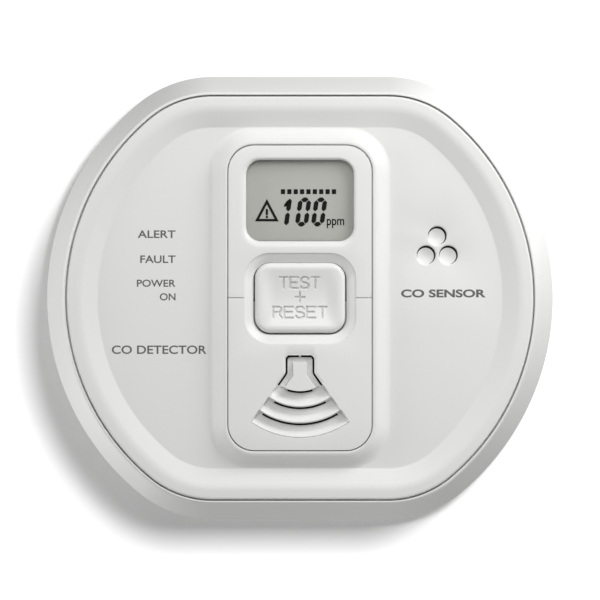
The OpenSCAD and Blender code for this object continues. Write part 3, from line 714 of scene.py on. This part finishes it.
def boss(centre):
    """A screw boss that rises from the rear panel, with the well of the screw's head."""
    loop = circle_loop(1.0, centre, 40)
    split = BOSS_SPLIT - 0.2
    wide = BOSS_D / 2 - 1
    hole = SCREW_HOLE / 2 - 1
    well = WELL_D / 2 - 1
    return sweep(loop, [
        (wide, FLOOR_TOP), (wide, split), (hole, split), (hole, HEAD_TOP), (well, HEAD_TOP),
        (well, FLOOR_Z + 0.4), (well + 0.12, FLOOR_Z + 0.12), (well + 0.4, FLOOR_Z)
    ])


def hook_opening(x, y):
    """The keyhole that a hook of the wall plate goes through: wide at the foot, narrow above."""
    half = 2.3
    head = 4.3
    return corner_loop([
        (x + half, y + 1.5), (x - half, y + 1.5), (x - half, y - 7.2), (x - head, y - 7.2),
        (x - head, y - 12.8), (x + head, y - 12.8), (x + head, y - 7.2), (x + half, y - 7.2)
    ])


def rear_housing():
    """The side wall is one profile carried round the outline. The rear panel is two flat sheets
    with keyholes, screw wells and the slider's window, joined by the openings' sides."""
    outline = outline_loop()
    lean = BAND_W - 0.65
    side = bent([
        (-FOOT_IN, FLOOR_Z, 0),
        (-(RIM_LEAN + WALL), RIM_GAP, 0.5),
        (-RIM_LEAN, RIM_GAP, 0.6),
        (0, WIDE_Z, 14),
        (-lean, RIM_Z + 0.55, 0.22),
        (-(BAND_W - 0.3), RIDGE_Z, 0.18),
        (-BAND_W, RIDGE_Z - 0.02, 0.12),
        (-BAND_W, REST_Z, 0),
        (-(BAND_W + REST_W), REST_Z, 0),
        (-(BAND_W + REST_W), REST_Z - 2.5, 0),
        (-(lean + WALL), REST_Z - 4, 2),
        (-WALL, WIDE_Z, 0),
        (-FLOOR_IN, FLOOR_TOP, 0),
    ])
    parts = [sweep(outline, side)]
    foot = moved(outline, -FOOT_IN)
    top = moved(outline, -FLOOR_IN)
    outer = [foot]
    inner = [top]
    for centre in BOSSES:
        parts.append(boss(centre))
        outer.append(circle_loop(WELL_D / 2 + 0.4, centre, 40)[0])
        inner.append(circle_loop(BOSS_D / 2, centre, 40)[0])
    openings = [hook_opening(*place) for place in HOOKS]
    openings.append(rounded_loop(7.6, 3.6, 0.3, SLIDER_AT, 4, 4))
    for loop in openings:
        rim = [(0.25, FLOOR_Z), (0.07, FLOOR_Z + 0.07), (0, FLOOR_Z + 0.25), (0, FLOOR_TOP)]
        parts.append(sweep(loop, rim))
        outer.append(moved(loop, 0.25))
        inner.append(loop[0])
    parts.append(sheet(outer, FLOOR_Z))
    parts.append(sheet(inner, FLOOR_TOP))
    piece("housing_rear", parts, "detector", white, "rear_housing")


def gas_places():
    """Three holes a third of a turn apart on a circle, the first at its top."""
    turn = np.radians([90, 210, 330])
    r = GAS_PITCH / math.sqrt(3)
    return np.stack([GAS_AT[0] + r * np.cos(turn), GAS_AT[1] + r * np.sin(turn)], 1)


def gas_shield(x, y):
    """A round plug moulded into a gas hole, set towards its lower left so that a crescent stays
    open. Its face is hollow: PLUG_Z plus PLUG_CURVE times the squared distance from its middle."""
    middle = np.array((x, y)) - PLUG_SHIFT
    plug = circle_loop(PLUG_R, middle)

    def face(points):
        """Height of the hollow face."""
        return PLUG_Z + PLUG_CURVE * np.sum((points - middle) ** 2, axis=1)

    side, faces = sweep(plug, [(0, UNDER_Z), (0, DISH_Z)])
    count = len(plug[0])
    side[count:, 2] = face(side[count:, :2])
    spots = grid(x - 2.1, x + 1.9, y - 2.2, y + 1.8, 0.17)
    spots = spots[np.linalg.norm(spots - middle, axis=1) < 1.85]
    return [(side, faces), sheet([plug[0]], face, spots), sheet([plug[0]], UNDER_Z)]


def post(centre, r, foot, hole, hole_top, count):
    """A round post from the cover's underside back to foot, with a blind screw hole."""
    side = [(r - 1, UNDER_Z), (r - 1, foot), (hole - 1, foot), (hole - 1, hole_top)]
    end = circle_loop(hole, centre, count)[0]
    return [sweep(circle_loop(1.0, centre, count), side), sheet([end], hole_top)]


def front_cover():
    """Outer ridge and inner flank are profiles carried round the outline and round the panel's
    opening. The dish between them is a flat sheet, pierced by the gas holes."""
    outline = outline_loop()
    opening = rounded_loop(OPEN_W, OPEN_H, OPEN_R, (0, 0), 36, 20)
    ridge = bent([
        (-RING_IN, DISH_Z, 0),
        (-(DISH_IN - 0.35), DISH_Z, 1.0),
        (-(SLOPE_IN - 0.2), RIDGE_Z, 5.0),
        (-(COVER_IN + 0.1), RIDGE_Z, 0.5),
        (-COVER_IN, REST_Z, 0),
        (-SKIRT_IN, REST_Z, 0),
        (-SKIRT_IN, REST_Z - SKIRT_D, 0.3),
        (-(SKIRT_IN + 1.5), REST_Z - SKIRT_D, 0.3),
        (-(SKIRT_IN + 1.5), UNDER_Z, 0),
        (-RING_IN, UNDER_Z, 0),
    ], 10)
    t = np.linspace(0, 1, 17)
    run = 0.45 + (FLANK_W - 0.45) * t
    fall = DISH_Z + (BODY_D - 0.08 - DISH_Z) * (0.5 + 0.5 * np.cos(math.pi * t ** 0.92))
    crest = [(0.0, BODY_D - 0.5), (0.03, BODY_D - 0.28), (0.12, BODY_D - 0.13), (0.25, BODY_D - 0.07)]
    flank = np.vstack([
        [(2.2, UNDER_Z + 0.1), (1.6, LEDGE_Z), (-LEDGE_W, LEDGE_Z)],
        [(-LEDGE_W, PANEL_Z - 0.02), (0, PANEL_Z - 0.02)],
        crest,
        np.column_stack([run, fall]),
        [(FLANK_W + 0.03, DISH_Z - 0.02), (FLANK_W + 0.03, UNDER_Z + 0.1)],
    ])
    parts = [sweep(outline, ridge), tube(opening, flank)]
    around = moved(opening, 2.0)
    upper = [moved(outline, -RING_IN), around]
    lower = list(upper)
    parts.append(sweep((around, opening[1]), [(0, UNDER_Z), (0, DISH_Z)]))
    for x, y in gas_places():
        hole = circle_loop(GAS_HOLE_D / 2, (x, y))
        rim = [(0.4, DISH_Z), (0.2, DISH_Z - 0.05), (0.06, DISH_Z - 0.18), (0, DISH_Z - 0.4), (0, UNDER_Z)]
        parts.append(sweep(hole, rim))
        upper.append(moved(hole, 0.4))
        lower.append(hole[0])
        parts += gas_shield(x, y)
    posts = [(centre, BOSS_D / 2, BOSS_SPLIT, 1.5, 30.0, 40) for centre in BOSSES]
    posts += [(centre, POST_R, BOARD_FRONT, 1.15, 34.0, 32) for centre in POSTS]
    for centre, r, *rest in posts:
        lower.append(circle_loop(r, centre, rest[-1])[0])
        parts += post(centre, r, *rest)
    parts.append(sheet(upper, DISH_Z))
    parts.append(sheet(lower, UNDER_Z))
    piece("cover_front", parts, "detector", white, "front_cover")


# ---- centre panel ----

def recess_loop():
    """The edge of the hole that the test button stands in."""
    return rounded_loop(HOLE_W, HOLE_H, HOLE_R, (0, HOLE_Y), 24, 16)


def half_loop(sign, seam):
    """Half of the panel with half of the button's recess taken out of it. seam is the height of
    the line where it ends."""
    outer = rounded_loop(PANEL_W - 0.08, PANEL_H - 0.08, PANEL_R, (0, 0), 36, 18)[0]
    inner = moved(recess_loop(), RECESS_SLOPE + 0.02)
    outer = outer[outer[:, 1] * sign > abs(seam) + 0.2]
    inner = inner[inner[:, 1] * sign > abs(seam) + 0.2]
    outer = outer[np.argsort(-np.arctan2(outer[:, 0], outer[:, 1] * sign))]
    inner = inner[np.argsort(np.arctan2(inner[:, 0], inner[:, 1] * sign))]
    wide = PANEL_W / 2 - 0.04
    narrow = HOLE_W / 2 + RECESS_SLOPE + 0.02
    line = np.vstack([[(wide, seam)], outer, [(-wide, seam), (-narrow, seam)], inner, [(narrow, seam)]])
    if sign < 0:
        line = line[::-1]
    return corner_loop(line)


def recess_frame():
    """The sloping frame round the button: one closed profile carried round the button's hole."""
    return tube(recess_loop(), [
        (0, LIP_Z), (0, RECESS_Z), (0.2, RECESS_Z + 0.22), (RECESS_SLOPE - 0.35, BODY_D - 0.5),
        (RECESS_SLOPE - 0.15, BODY_D - 0.36), (RECESS_SLOPE, BODY_D - 0.32), (RECESS_SLOPE, LIP_Z)])


def display_bezel():
    """The upper half of the panel. Its display opening is the panel's edge rounded over the full
    depth down to the window."""
    view = rounded_loop(VIEW_W, VIEW_H, VIEW_R, (0, VIEW_Y), 20, 16)
    half = half_loop(1, 0.06)
    edge = 0.13
    angle = np.linspace(0, math.pi / 2, 5)
    rim = np.column_stack([-edge * (1 - np.sin(angle)), BODY_D - edge * (1 - np.cos(angle))])
    side = np.vstack([rim, [(0, PANEL_Z)]])
    turn = np.linspace(0, math.pi / 2, 13)
    wide = 1.15 - 0.45 * (view[1][:, :1] + view[1][:, 1:])
    uneven = (view[0], view[1] * wide)
    lip = np.column_stack([1 - np.sin(turn), LENS_Z + 0.02 + (BODY_D - LENS_Z - 0.02) * np.cos(turn)])
    lip = np.vstack([[(1.15, BODY_D)], lip])
    pocket = VIEW_LAP + 0.15
    parts = [
        sweep(uneven, lip),
        sweep(view, [(0, LENS_Z + 0.02), (pocket, LENS_Z + 0.02), (pocket, PANEL_Z)]),
        sweep(half, side),
        sheet([moved(half, -edge), moved(uneven, 1.15)], BODY_D),
        sheet([half[0], moved(view, pocket)], PANEL_Z),
        recess_frame(),
    ]
    parts += hinge_ears()
    piece("panel_upper", parts, "detector", panel_white, "display_bezel")


def hinge_ears():
    """Two ears under the lip over the button, each a plate with the hinge pin's hole."""
    parts = []
    for side in (-1, 1):
        x = side * EAR_X
        ear = corner_loop([(HINGE_Y - 1.25, HINGE_Z - 1.4), (HINGE_Y + 1.25, HINGE_Z - 1.4),
                           (HINGE_Y + 1.25, LIP_Z), (HINGE_Y - 1.25, LIP_Z)])
        hole = circle_loop(0.85, (HINGE_Y, HINGE_Z), 24)
        ends = (x - 0.9, x + 0.9)
        group = [sweep(ear, [(0, ends[0]), (0, ends[1])]), sweep(hole, [(0, ends[0]), (0, ends[1])])]
        group += [sheet([ear[0], hole[0]], end) for end in ends]
        parts += [turned(part, 1) for part in group]
    return parts


def fan_place(points):
    """Distance r from the fan's point, and the angle from straight down."""
    y = points[:, 1] + FAN_Y
    return np.hypot(points[:, 0], y), np.arctan2(np.abs(points[:, 0]), -y)


def grille_top(points):
    """The panel's face, BODY_D, less a depth. Inside the fan that is VALLEY_D, less a roll that
    rises as a quarter sine to the power 1.2 from each valley to the next slit and falls off
    round at its ends. Over the fan a channel VALLEY_D deep follows the neck's edge, round the
    raised island, and outside its edge the face sinks by 0.2 exp(-(reach / 0.3) squared)."""
    r, turn = fan_place(points)
    edge = math.radians(FAN_ANGLE)
    side = r * np.sin(np.clip(edge - turn, -1.2, 1.2))
    down = -(points[:, 1] + FAN_Y)
    neck = np.maximum(side, NECK_HALF - np.abs(points[:, 0]))
    over = down - NECK_DROP
    reach = np.where((neck < 1) & (over < 1), 1 - np.hypot(1 - neck, 1 - over), np.minimum(neck, over))
    channel = smooth_step(reach / 0.3) * (1 - smooth_step((reach - NECK_CHANNEL) / 0.3))
    island = smooth_step((FAN_START - r + 0.1) / 0.25)
    depth = VALLEY_D * channel * island
    within = smooth_step(side / 0.25) * smooth_step((FAN_END - r) / 0.12)
    lowest = VALLEY_D * within
    rise = np.zeros(len(points))
    for i in range(3):
        foot = FAN_START + i * SLIT_PITCH + SLIT_W + VALLEY_W
        crest = FAN_START + (i + 1) * SLIT_PITCH - (0.0 if i < 2 else 0.4)
        t = np.clip((r - foot) / (crest - foot), 0, 1)
        bulge = np.sin(math.pi / 2 * t) ** 1.2 * smooth_step((crest - r) / 0.35 + 0.25)
        ends = np.sqrt(np.clip(1 - (1 - np.clip(side / 0.8, 0, 1)) ** 2, 0, 1))
        rise = np.maximum(rise, (VALLEY_D - 0.08) * bulge * ends * (r > foot) * (r <= crest))
    fan = np.maximum(lowest - rise, 0)
    depth = np.where(r >= FAN_START, fan, depth)
    lip = 0.2 * np.exp(-((np.minimum(reach, 0) / 0.3) ** 2)) * (r < FAN_START) * (reach < 0)
    return BODY_D - depth - lip


def fan_slits():
    """Slits: three arcs about the fan's point, and two bands that follow the neck's outer edge
    from near its top down along the flare."""
    point = np.array((0, -FAN_Y))
    loops = []
    for i, half in enumerate(SLIT_ANGLES):
        turn = np.radians(np.linspace(-half, half, 41))
        r = FAN_START + i * SLIT_PITCH + SLIT_W / 2
        loops.append(ribbon_loop(point + r * np.stack([np.sin(turn), -np.cos(turn)], 1), SLIT_W / 2))
    gap = 0.12 + SLIT_W / 2
    x = NECK_HALF - gap
    slope = math.radians(FAN_ANGLE)
    bend_y = -(x + gap / math.cos(slope)) / math.tan(slope)
    low_y = -7.6
    path = bent([
        (0.45, -NECK_DROP - gap, 0), (x, -NECK_DROP - gap, 0.9), (x, bend_y, 1.5),
        (x + (bend_y - low_y) * math.tan(slope), low_y, 0)], 10)
    for side in (1, -1):
        line = path * (side, 1) + point
        loops.append(ribbon_loop(line, SLIT_W / 2))
    return [corner_loop(loop[0]) for loop in loops]


def grille_panel():
    """The lower half of the panel, with the fan's relief as heights over close points: rows of
    equal radius in the fan, a square grid round the neck."""
    half = half_loop(-1, -0.06)
    slits = fan_slits()
    radii = np.arange(FAN_START, FAN_END + 0.5, 0.14)
    turns = np.radians(np.linspace(-FAN_ANGLE - 1.5, FAN_ANGLE + 1.5, 130))
    rr, tt = np.meshgrid(radii, turns)
    fan = np.stack([rr.ravel() * np.sin(tt.ravel()), -FAN_Y - rr.ravel() * np.cos(tt.ravel())], 1)
    neck = grid(-6.3, 6.3, -FAN_Y - FAN_START + 0.05, -FAN_Y - 0.4, 0.13)
    r, _ = fan_place(neck)
    neck = neck[r < FAN_START - 0.07]
    extra = np.vstack([fan, neck])
    for loop in slits:
        near = moved(loop, 0.1)
        gap = np.full(len(extra), 1e9)
        for part in np.array_split(near, 8):
            across = extra[:, :1] - part[None, :, 0]
            along = extra[:, 1:] - part[None, :, 1]
            gap = np.minimum(gap, np.min(np.hypot(across, along), axis=1))
        extra = extra[gap > 0.07]
    parts = solid([half] + slits, PANEL_Z, grille_top, 0.06, extra)
    piece("panel_lower", parts, "detector", panel_white, "grille_panel", angle=50)


# ---- test button ----

LETTERS = {
    "T": [[(0, 1), (1, 1)], [(0.5, 1), (0.5, 0)]],
    "E": [[(1, 1), (0, 1), (0, 0), (1, 0)], [(0, 0.52), (0.85, 0.52)]],
    "S": [[(0.97, 0.84), (0.75, 1), (0.25, 1), (0.02, 0.84), (0.02, 0.66), (0.25, 0.53), (0.75, 0.47),
           (0.98, 0.34), (0.98, 0.16), (0.75, 0), (0.25, 0), (0.03, 0.16)]],
    "R": [[(0, 0), (0, 1), (0.7, 1), (0.95, 0.88), (0.95, 0.62), (0.7, 0.5), (0, 0.5)],
          [(0.55, 0.5), (1, 0)]],
    "+": [[(0.0, 0.5), (1.0, 0.5)], [(0.5, 0), (0.5, 1)]],
}


def legend(word, x0, x1, y0, y1, gap=0.32):
    """The strokes of a word, its letters evenly spaced over a box."""
    width = (x1 - x0) / (len(word) + gap * (len(word) - 1))
    strokes = []
    for i, letter in enumerate(word):
        left = x0 + i * width * (1 + gap)
        for stroke in LETTERS[letter]:
            strokes.append([(left + x * width, y0 + y * (y1 - y0)) for x, y in stroke])
    return strokes


def button_top(points):
    """BUTTON_Z less a hollow, 0.95 deep in the middle: a smooth step of 1.6 times a parabola
    across, times a parabola up the face to the power 1.15. Each stroke of the legend cuts a
    groove 0.6 deeper, 0.12 to each side of its line, with sloping sides 0.13 wide."""
    strokes = legend("TEST", -4.75, 4.55, 2.3, 4.85) + legend("+", -1.1, 1.1, -0.9, 1.3)
    strokes += legend("RESET", -6.3, 6.3, -4.65, -2.1)
    x = np.clip(1 - (points[:, 0] / 9.3) ** 2, 0, 1)
    y = np.clip(1 - (points[:, 1] / 6.7) ** 2, 0, 1)
    hollow = 0.95 * smooth_step(x * 1.6) * y ** 1.15
    groove = 0.6 * (1 - smooth_step((segment_distance(points, strokes) - 0.12) / 0.13))
    return BUTTON_Z - hollow - groove


def test_button():
    """The face is a height over a fine grid, with a wide quarter-round edge. Skirt, flange, stem
    and hinge pin are plain forms below it."""
    loop = rounded_loop(BUTTON_W, BUTTON_H, BUTTON_R, (0, 0), 60, 22)
    extra = grid(-9.5, 9.5, -7.1, 7.1, 0.085)
    parts = solid([loop], FLANGE_Z, button_top, 1.15, extra, 10)
    flange = rounded_loop(BUTTON_W + 3, BUTTON_H * 0.5, 2.0, (0, -BUTTON_H / 4 - 0.75))
    parts += prism(flange, FLANGE_Z, FLANGE_Z + 1.2)
    parts += prism(circle_loop(2.0, (0, 0), 40), 34.0, FLANGE_Z + 1)
    arm = rounded_loop(2 * EAR_X - 2.4, 3.6, 0.4, (0, HINGE_Y - 1.8))
    parts += prism(arm, HINGE_Z - 0.8, HINGE_Z + 0.8)
    reach = EAR_X + 1.2
    pin = prism(circle_loop(0.8, (HINGE_Y, HINGE_Z), 28), -reach, reach)
    parts += [turned(part, 1) for part in pin]
    piece("button_face", parts, "button", button_white, "test_button", angle=60)


# ---- display and prints ----

def lcd_content():
    """Dark segments on the display's glass: three digits made of six-sided bars that lean to the
    right, a row of level bars and a triangle sign, each a thin prism."""
    base = LCD_Z
    top = SEGMENT_TOP
    lean = math.tan(math.radians(8))
    parts = []

    def bar(a, b, half):
        """A bar from a to b, half wide to each side and pointed at both ends."""
        a = np.array(a, float)
        b = np.array(b, float)
        run = (b - a) / np.linalg.norm(b - a)
        side = np.array((-run[1], run[0])) * half
        run = run * half
        shape = np.array([a, a + run - side, b - run - side, b, b - run + side, a + run + side])
        shape[:, 0] += (shape[:, 1] - 16.9) * lean
        parts.extend(prism(corner_loop(shape), base, top))

    low = 17.35
    high = 23.1
    middle = (low + high) / 2
    gap = 0.1
    for left, digit in ((-5.3, "1"), (-0.72, "0"), (3.05, "0")):
        right = left + 2.0
        tip = 0.4 if digit == "1" else 0.0
        bars = [((right, low - tip), (right, middle)), ((right, middle), (right, high + tip))]
        if digit == "0":
            bars += [((left, low), (left, middle)), ((left, middle), (left, high))]
            bars += [((left, low), (right, low)), ((left, high), (right, high))]
        for a, b in bars:
            run = np.array(b) - np.array(a)
            run = run / np.linalg.norm(run) * gap
            bar(np.array(a) + run, np.array(b) - run, 0.54)
    bar((-4.35, high - 1.7), (-3.4, high - 0.1), 0.36)
    for i in range(9):
        parts.extend(prism(rounded_loop(1.0, 1.15, 0.12, (-4.0 + 1.5 * i, 25.0), 4, 4), base, top))
    sign = corner_loop([(-10.6, 18.0), (-5.0, 18.0), (-7.8, 23.3)])
    inner = corner_loop([(-9.6, 18.6), (-6.0, 18.6), (-7.8, 22.0)])
    parts += [sweep(sign, [(0, base), (0, top)]), sweep(inner, [(0, base), (0, top)])]
    parts += [sheet([sign[0], inner[0]], z) for z in (base, top)]
    parts += prism(rounded_loop(0.55, 1.5, 0.2, (-7.8, 20.2), 4, 6), base, top)
    parts += prism(circle_loop(0.3, (-7.8, 19.05), 20), base, top)
    piece("display_segments", parts, "detector", ink_black)


def print_word(name, word, x0, x1, y0, y1, z, material, heavy=0.015):
    """A word in the built-in typeface, made a thin mesh and fitted to the box x0..x1, y0..y1 at
    height z."""
    curve = bpy.data.curves.new(name, "FONT")
    curve.body = word
    curve.offset = heavy
    curve.extrude = 0.01
    holder = new_object(name + "_text", curve)
    mesh = bpy.data.meshes.new_from_object(holder.evaluated_get(bpy.context.evaluated_depsgraph_get()))
    bpy.data.objects.remove(holder)
    points = np.empty(len(mesh.vertices) * 3)
    mesh.vertices.foreach_get("co", points)
    points = points.reshape(-1, 3)
    low = points.min(axis=0)
    high = points.max(axis=0)
    share = (points - low) / (high - low)
    across = x0 + share[:, 0] * (x1 - x0)
    up = y0 + share[:, 1] * (y1 - y0)
    flat = np.column_stack([across, up, z + share[:, 2] * 0.025])
    mesh.vertices.foreach_set("co", upright(flat).ravel())
    mesh.update()
    mesh.materials.clear()
    mesh.materials.append(material)
    item = new_object(name, mesh)
    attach(item, "detector")


def prints():
    """Generic legends beside the lamps, a generic line at the lower left and one at the right,
    and the unit on the display."""
    words = (
        ("print_alert", "ALERT", -38.2, -29.3, 14.1, 15.9),
        ("print_fault", "FAULT", -37.6, -29.3, 8.2, 10.0),
        ("print_power", "POWER", -38.4, -29.3, 2.6, 4.3),
        ("print_on", "ON", -33.0, -29.3, -0.6, 1.1),
        ("print_gas", "CO DETECTOR", -44.3, -22.0, -13.2, -11.2),
    )
    z = DISH_Z - 0.005
    for values in words:
        print_word(*values, z, ink_grey)
    print_word("print_sensor", "CO SENSOR", 23.8, 43.7, 0.1, 2.0, z, ink_grey, 0.03)
    print_word("print_unit", "ppm", 6.3, 10.4, 16.4, 18.6, LCD_Z, ink_black)


# ---- room, lamps and camera ----

def backing(name, corners):
    """A pale surface seen from its front only. To camera rays it is a bright diffuse white that
    takes shadows, and every other ray passes through it, so it lights nothing and hides nothing."""
    material, tree, out, place = new_material(name)
    matt = tree.nodes.new("ShaderNodeBsdfDiffuse")
    clear = tree.nodes.new("ShaderNodeBsdfTransparent")
    mix = tree.nodes.new("ShaderNodeMixShader")
    path = tree.nodes.new("ShaderNodeLightPath")
    side = tree.nodes.new("ShaderNodeNewGeometry")
    front = tree.nodes.new("ShaderNodeMath")
    front.operation = "SUBTRACT"
    tree.links.new(path.outputs["Is Camera Ray"], front.inputs[0])
    tree.links.new(side.outputs["Backfacing"], front.inputs[1])
    bright = tree.nodes.new("ShaderNodeCombineColor")
    level = spread(tree, noise(tree, place, 3), WALL_LEVEL, WALL_LEVEL + 0.02)
    for channel in ("Red", "Green", "Blue"):
        tree.links.new(level, bright.inputs[channel])
    tree.links.new(bright.outputs["Color"], matt.inputs["Color"])
    tree.links.new(front.outputs[0], mix.inputs["Fac"])
    tree.links.new(clear.outputs["BSDF"], mix.inputs[1])
    tree.links.new(matt.outputs["BSDF"], mix.inputs[2])
    tree.links.new(mix.outputs["Shader"], out.inputs["Surface"])
    mesh = bpy.data.meshes.new(name)
    mesh.from_pydata(corners, [], [(0, 1, 2, 3)])
    mesh.materials.append(material)
    item = new_object(name, mesh)
    return item


def lamp(name, place, aim, power, size, only=(), skips=()):
    """A square area lamp at place, turned towards aim and hidden from the camera. It lights
    the pieces in only, or every piece apart from those in skips."""
    data = bpy.data.lights.new(name, "AREA")
    data.energy = power
    data.size = size
    item = new_object(name, data)
    item.location = place
    item.visible_camera = False
    item.rotation_mode = "QUATERNION"
    item.rotation_quaternion = (Vector(aim) - Vector(place)).to_track_quat("-Z", "Y")
    group = bpy.data.collections.new(name + "_receivers")
    for thing in (*only, *skips):
        group.objects.link(thing)
    for entry in group.collection_objects:
        entry.light_linking.link_state = "EXCLUDE" if skips else "INCLUDE"
    item.light_linking.receiver_collection = group


def world():
    """An even grey sky that the camera sees as plain white. Every other ray sees the grey."""
    made = bpy.data.worlds.new("studio")
    bpy.context.scene.world = made
    made.use_nodes = True
    tree = made.node_tree
    tree.nodes.clear()
    out = tree.nodes.new("ShaderNodeOutputWorld")
    path = tree.nodes.new("ShaderNodeLightPath")
    soft = tree.nodes.new("ShaderNodeBackground")
    soft.inputs["Strength"].default_value = SKY_LEVEL
    plain = tree.nodes.new("ShaderNodeBackground")
    mix = tree.nodes.new("ShaderNodeMixShader")
    plain.inputs["Color"].default_value = (1, 1, 1, 1)
    soft.inputs["Color"].default_value = (1, 1, 1, 1)
    tree.links.new(path.outputs["Is Camera Ray"], mix.inputs["Fac"])
    tree.links.new(soft.outputs["Background"], mix.inputs[1])
    tree.links.new(plain.outputs["Background"], mix.inputs[2])
    tree.links.new(mix.outputs["Shader"], out.inputs["Surface"])


def camera():
    """Straight on, from far away with a long lens, aimed just under the middle."""
    data = bpy.data.cameras.new("camera")
    data.sensor_width = 36
    data.lens = CAMERA_LENS
    data.clip_start = 0.05
    data.clip_end = 20
    item = new_object("camera", data)
    item.location = (0, -CAMERA_DISTANCE, CAMERA_AIM)
    item.rotation_euler = (math.radians(90), 0, 0)
    bpy.context.scene.camera = item


dress_nodes()
rear_housing()
front_cover()
display_bezel()
grille_panel()
test_button()
lcd_content()
prints()
foot = [(-2, WALL_Y, ROOM_FOOT), (2, WALL_Y, ROOM_FOOT)]
room = [
    backing("wall_backing", foot + [(2, WALL_Y, 2), (-2, WALL_Y, 2)]),
    backing("floor_backing", [(-2, ROOM_FRONT, ROOM_FOOT), (2, ROOM_FRONT, ROOM_FOOT)] + foot[::-1]),
]
world()
lamp("key", (0.22, -0.2, 0.21), AIM, 0.82, 0.2, skips=room)
lamp("left", (-0.45, -0.1, 0.04), AIM, 1.05, 0.3, skips=room)
lamp("low", (0.25, -0.1, -0.42), AIM, 0.6, 0.3, skips=room)
lamp("front", (-0.02, -0.5, 0.24), AIM, 0.85, 0.25, skips=room)
lamp("rear_right", (0.9, 0.9, 0.65), (0, 0, 0), 14.0, 0.6, skips=room)
lamp("rear_left", (-0.9, 0.9, -0.6), (0, 0, 0), 5.5, 0.6, skips=room)
lamp("wall", (0.36, -1.9, 0.36), (0, 0, 0), 27.0, 0.3, only=room)
lamp("wall_soft", (0.2, -1.2, 0.2), (0, 0, 0), 3.2, 2.0, only=room)
camera()
bpy.context.scene.view_settings.view_transform = "Standard"
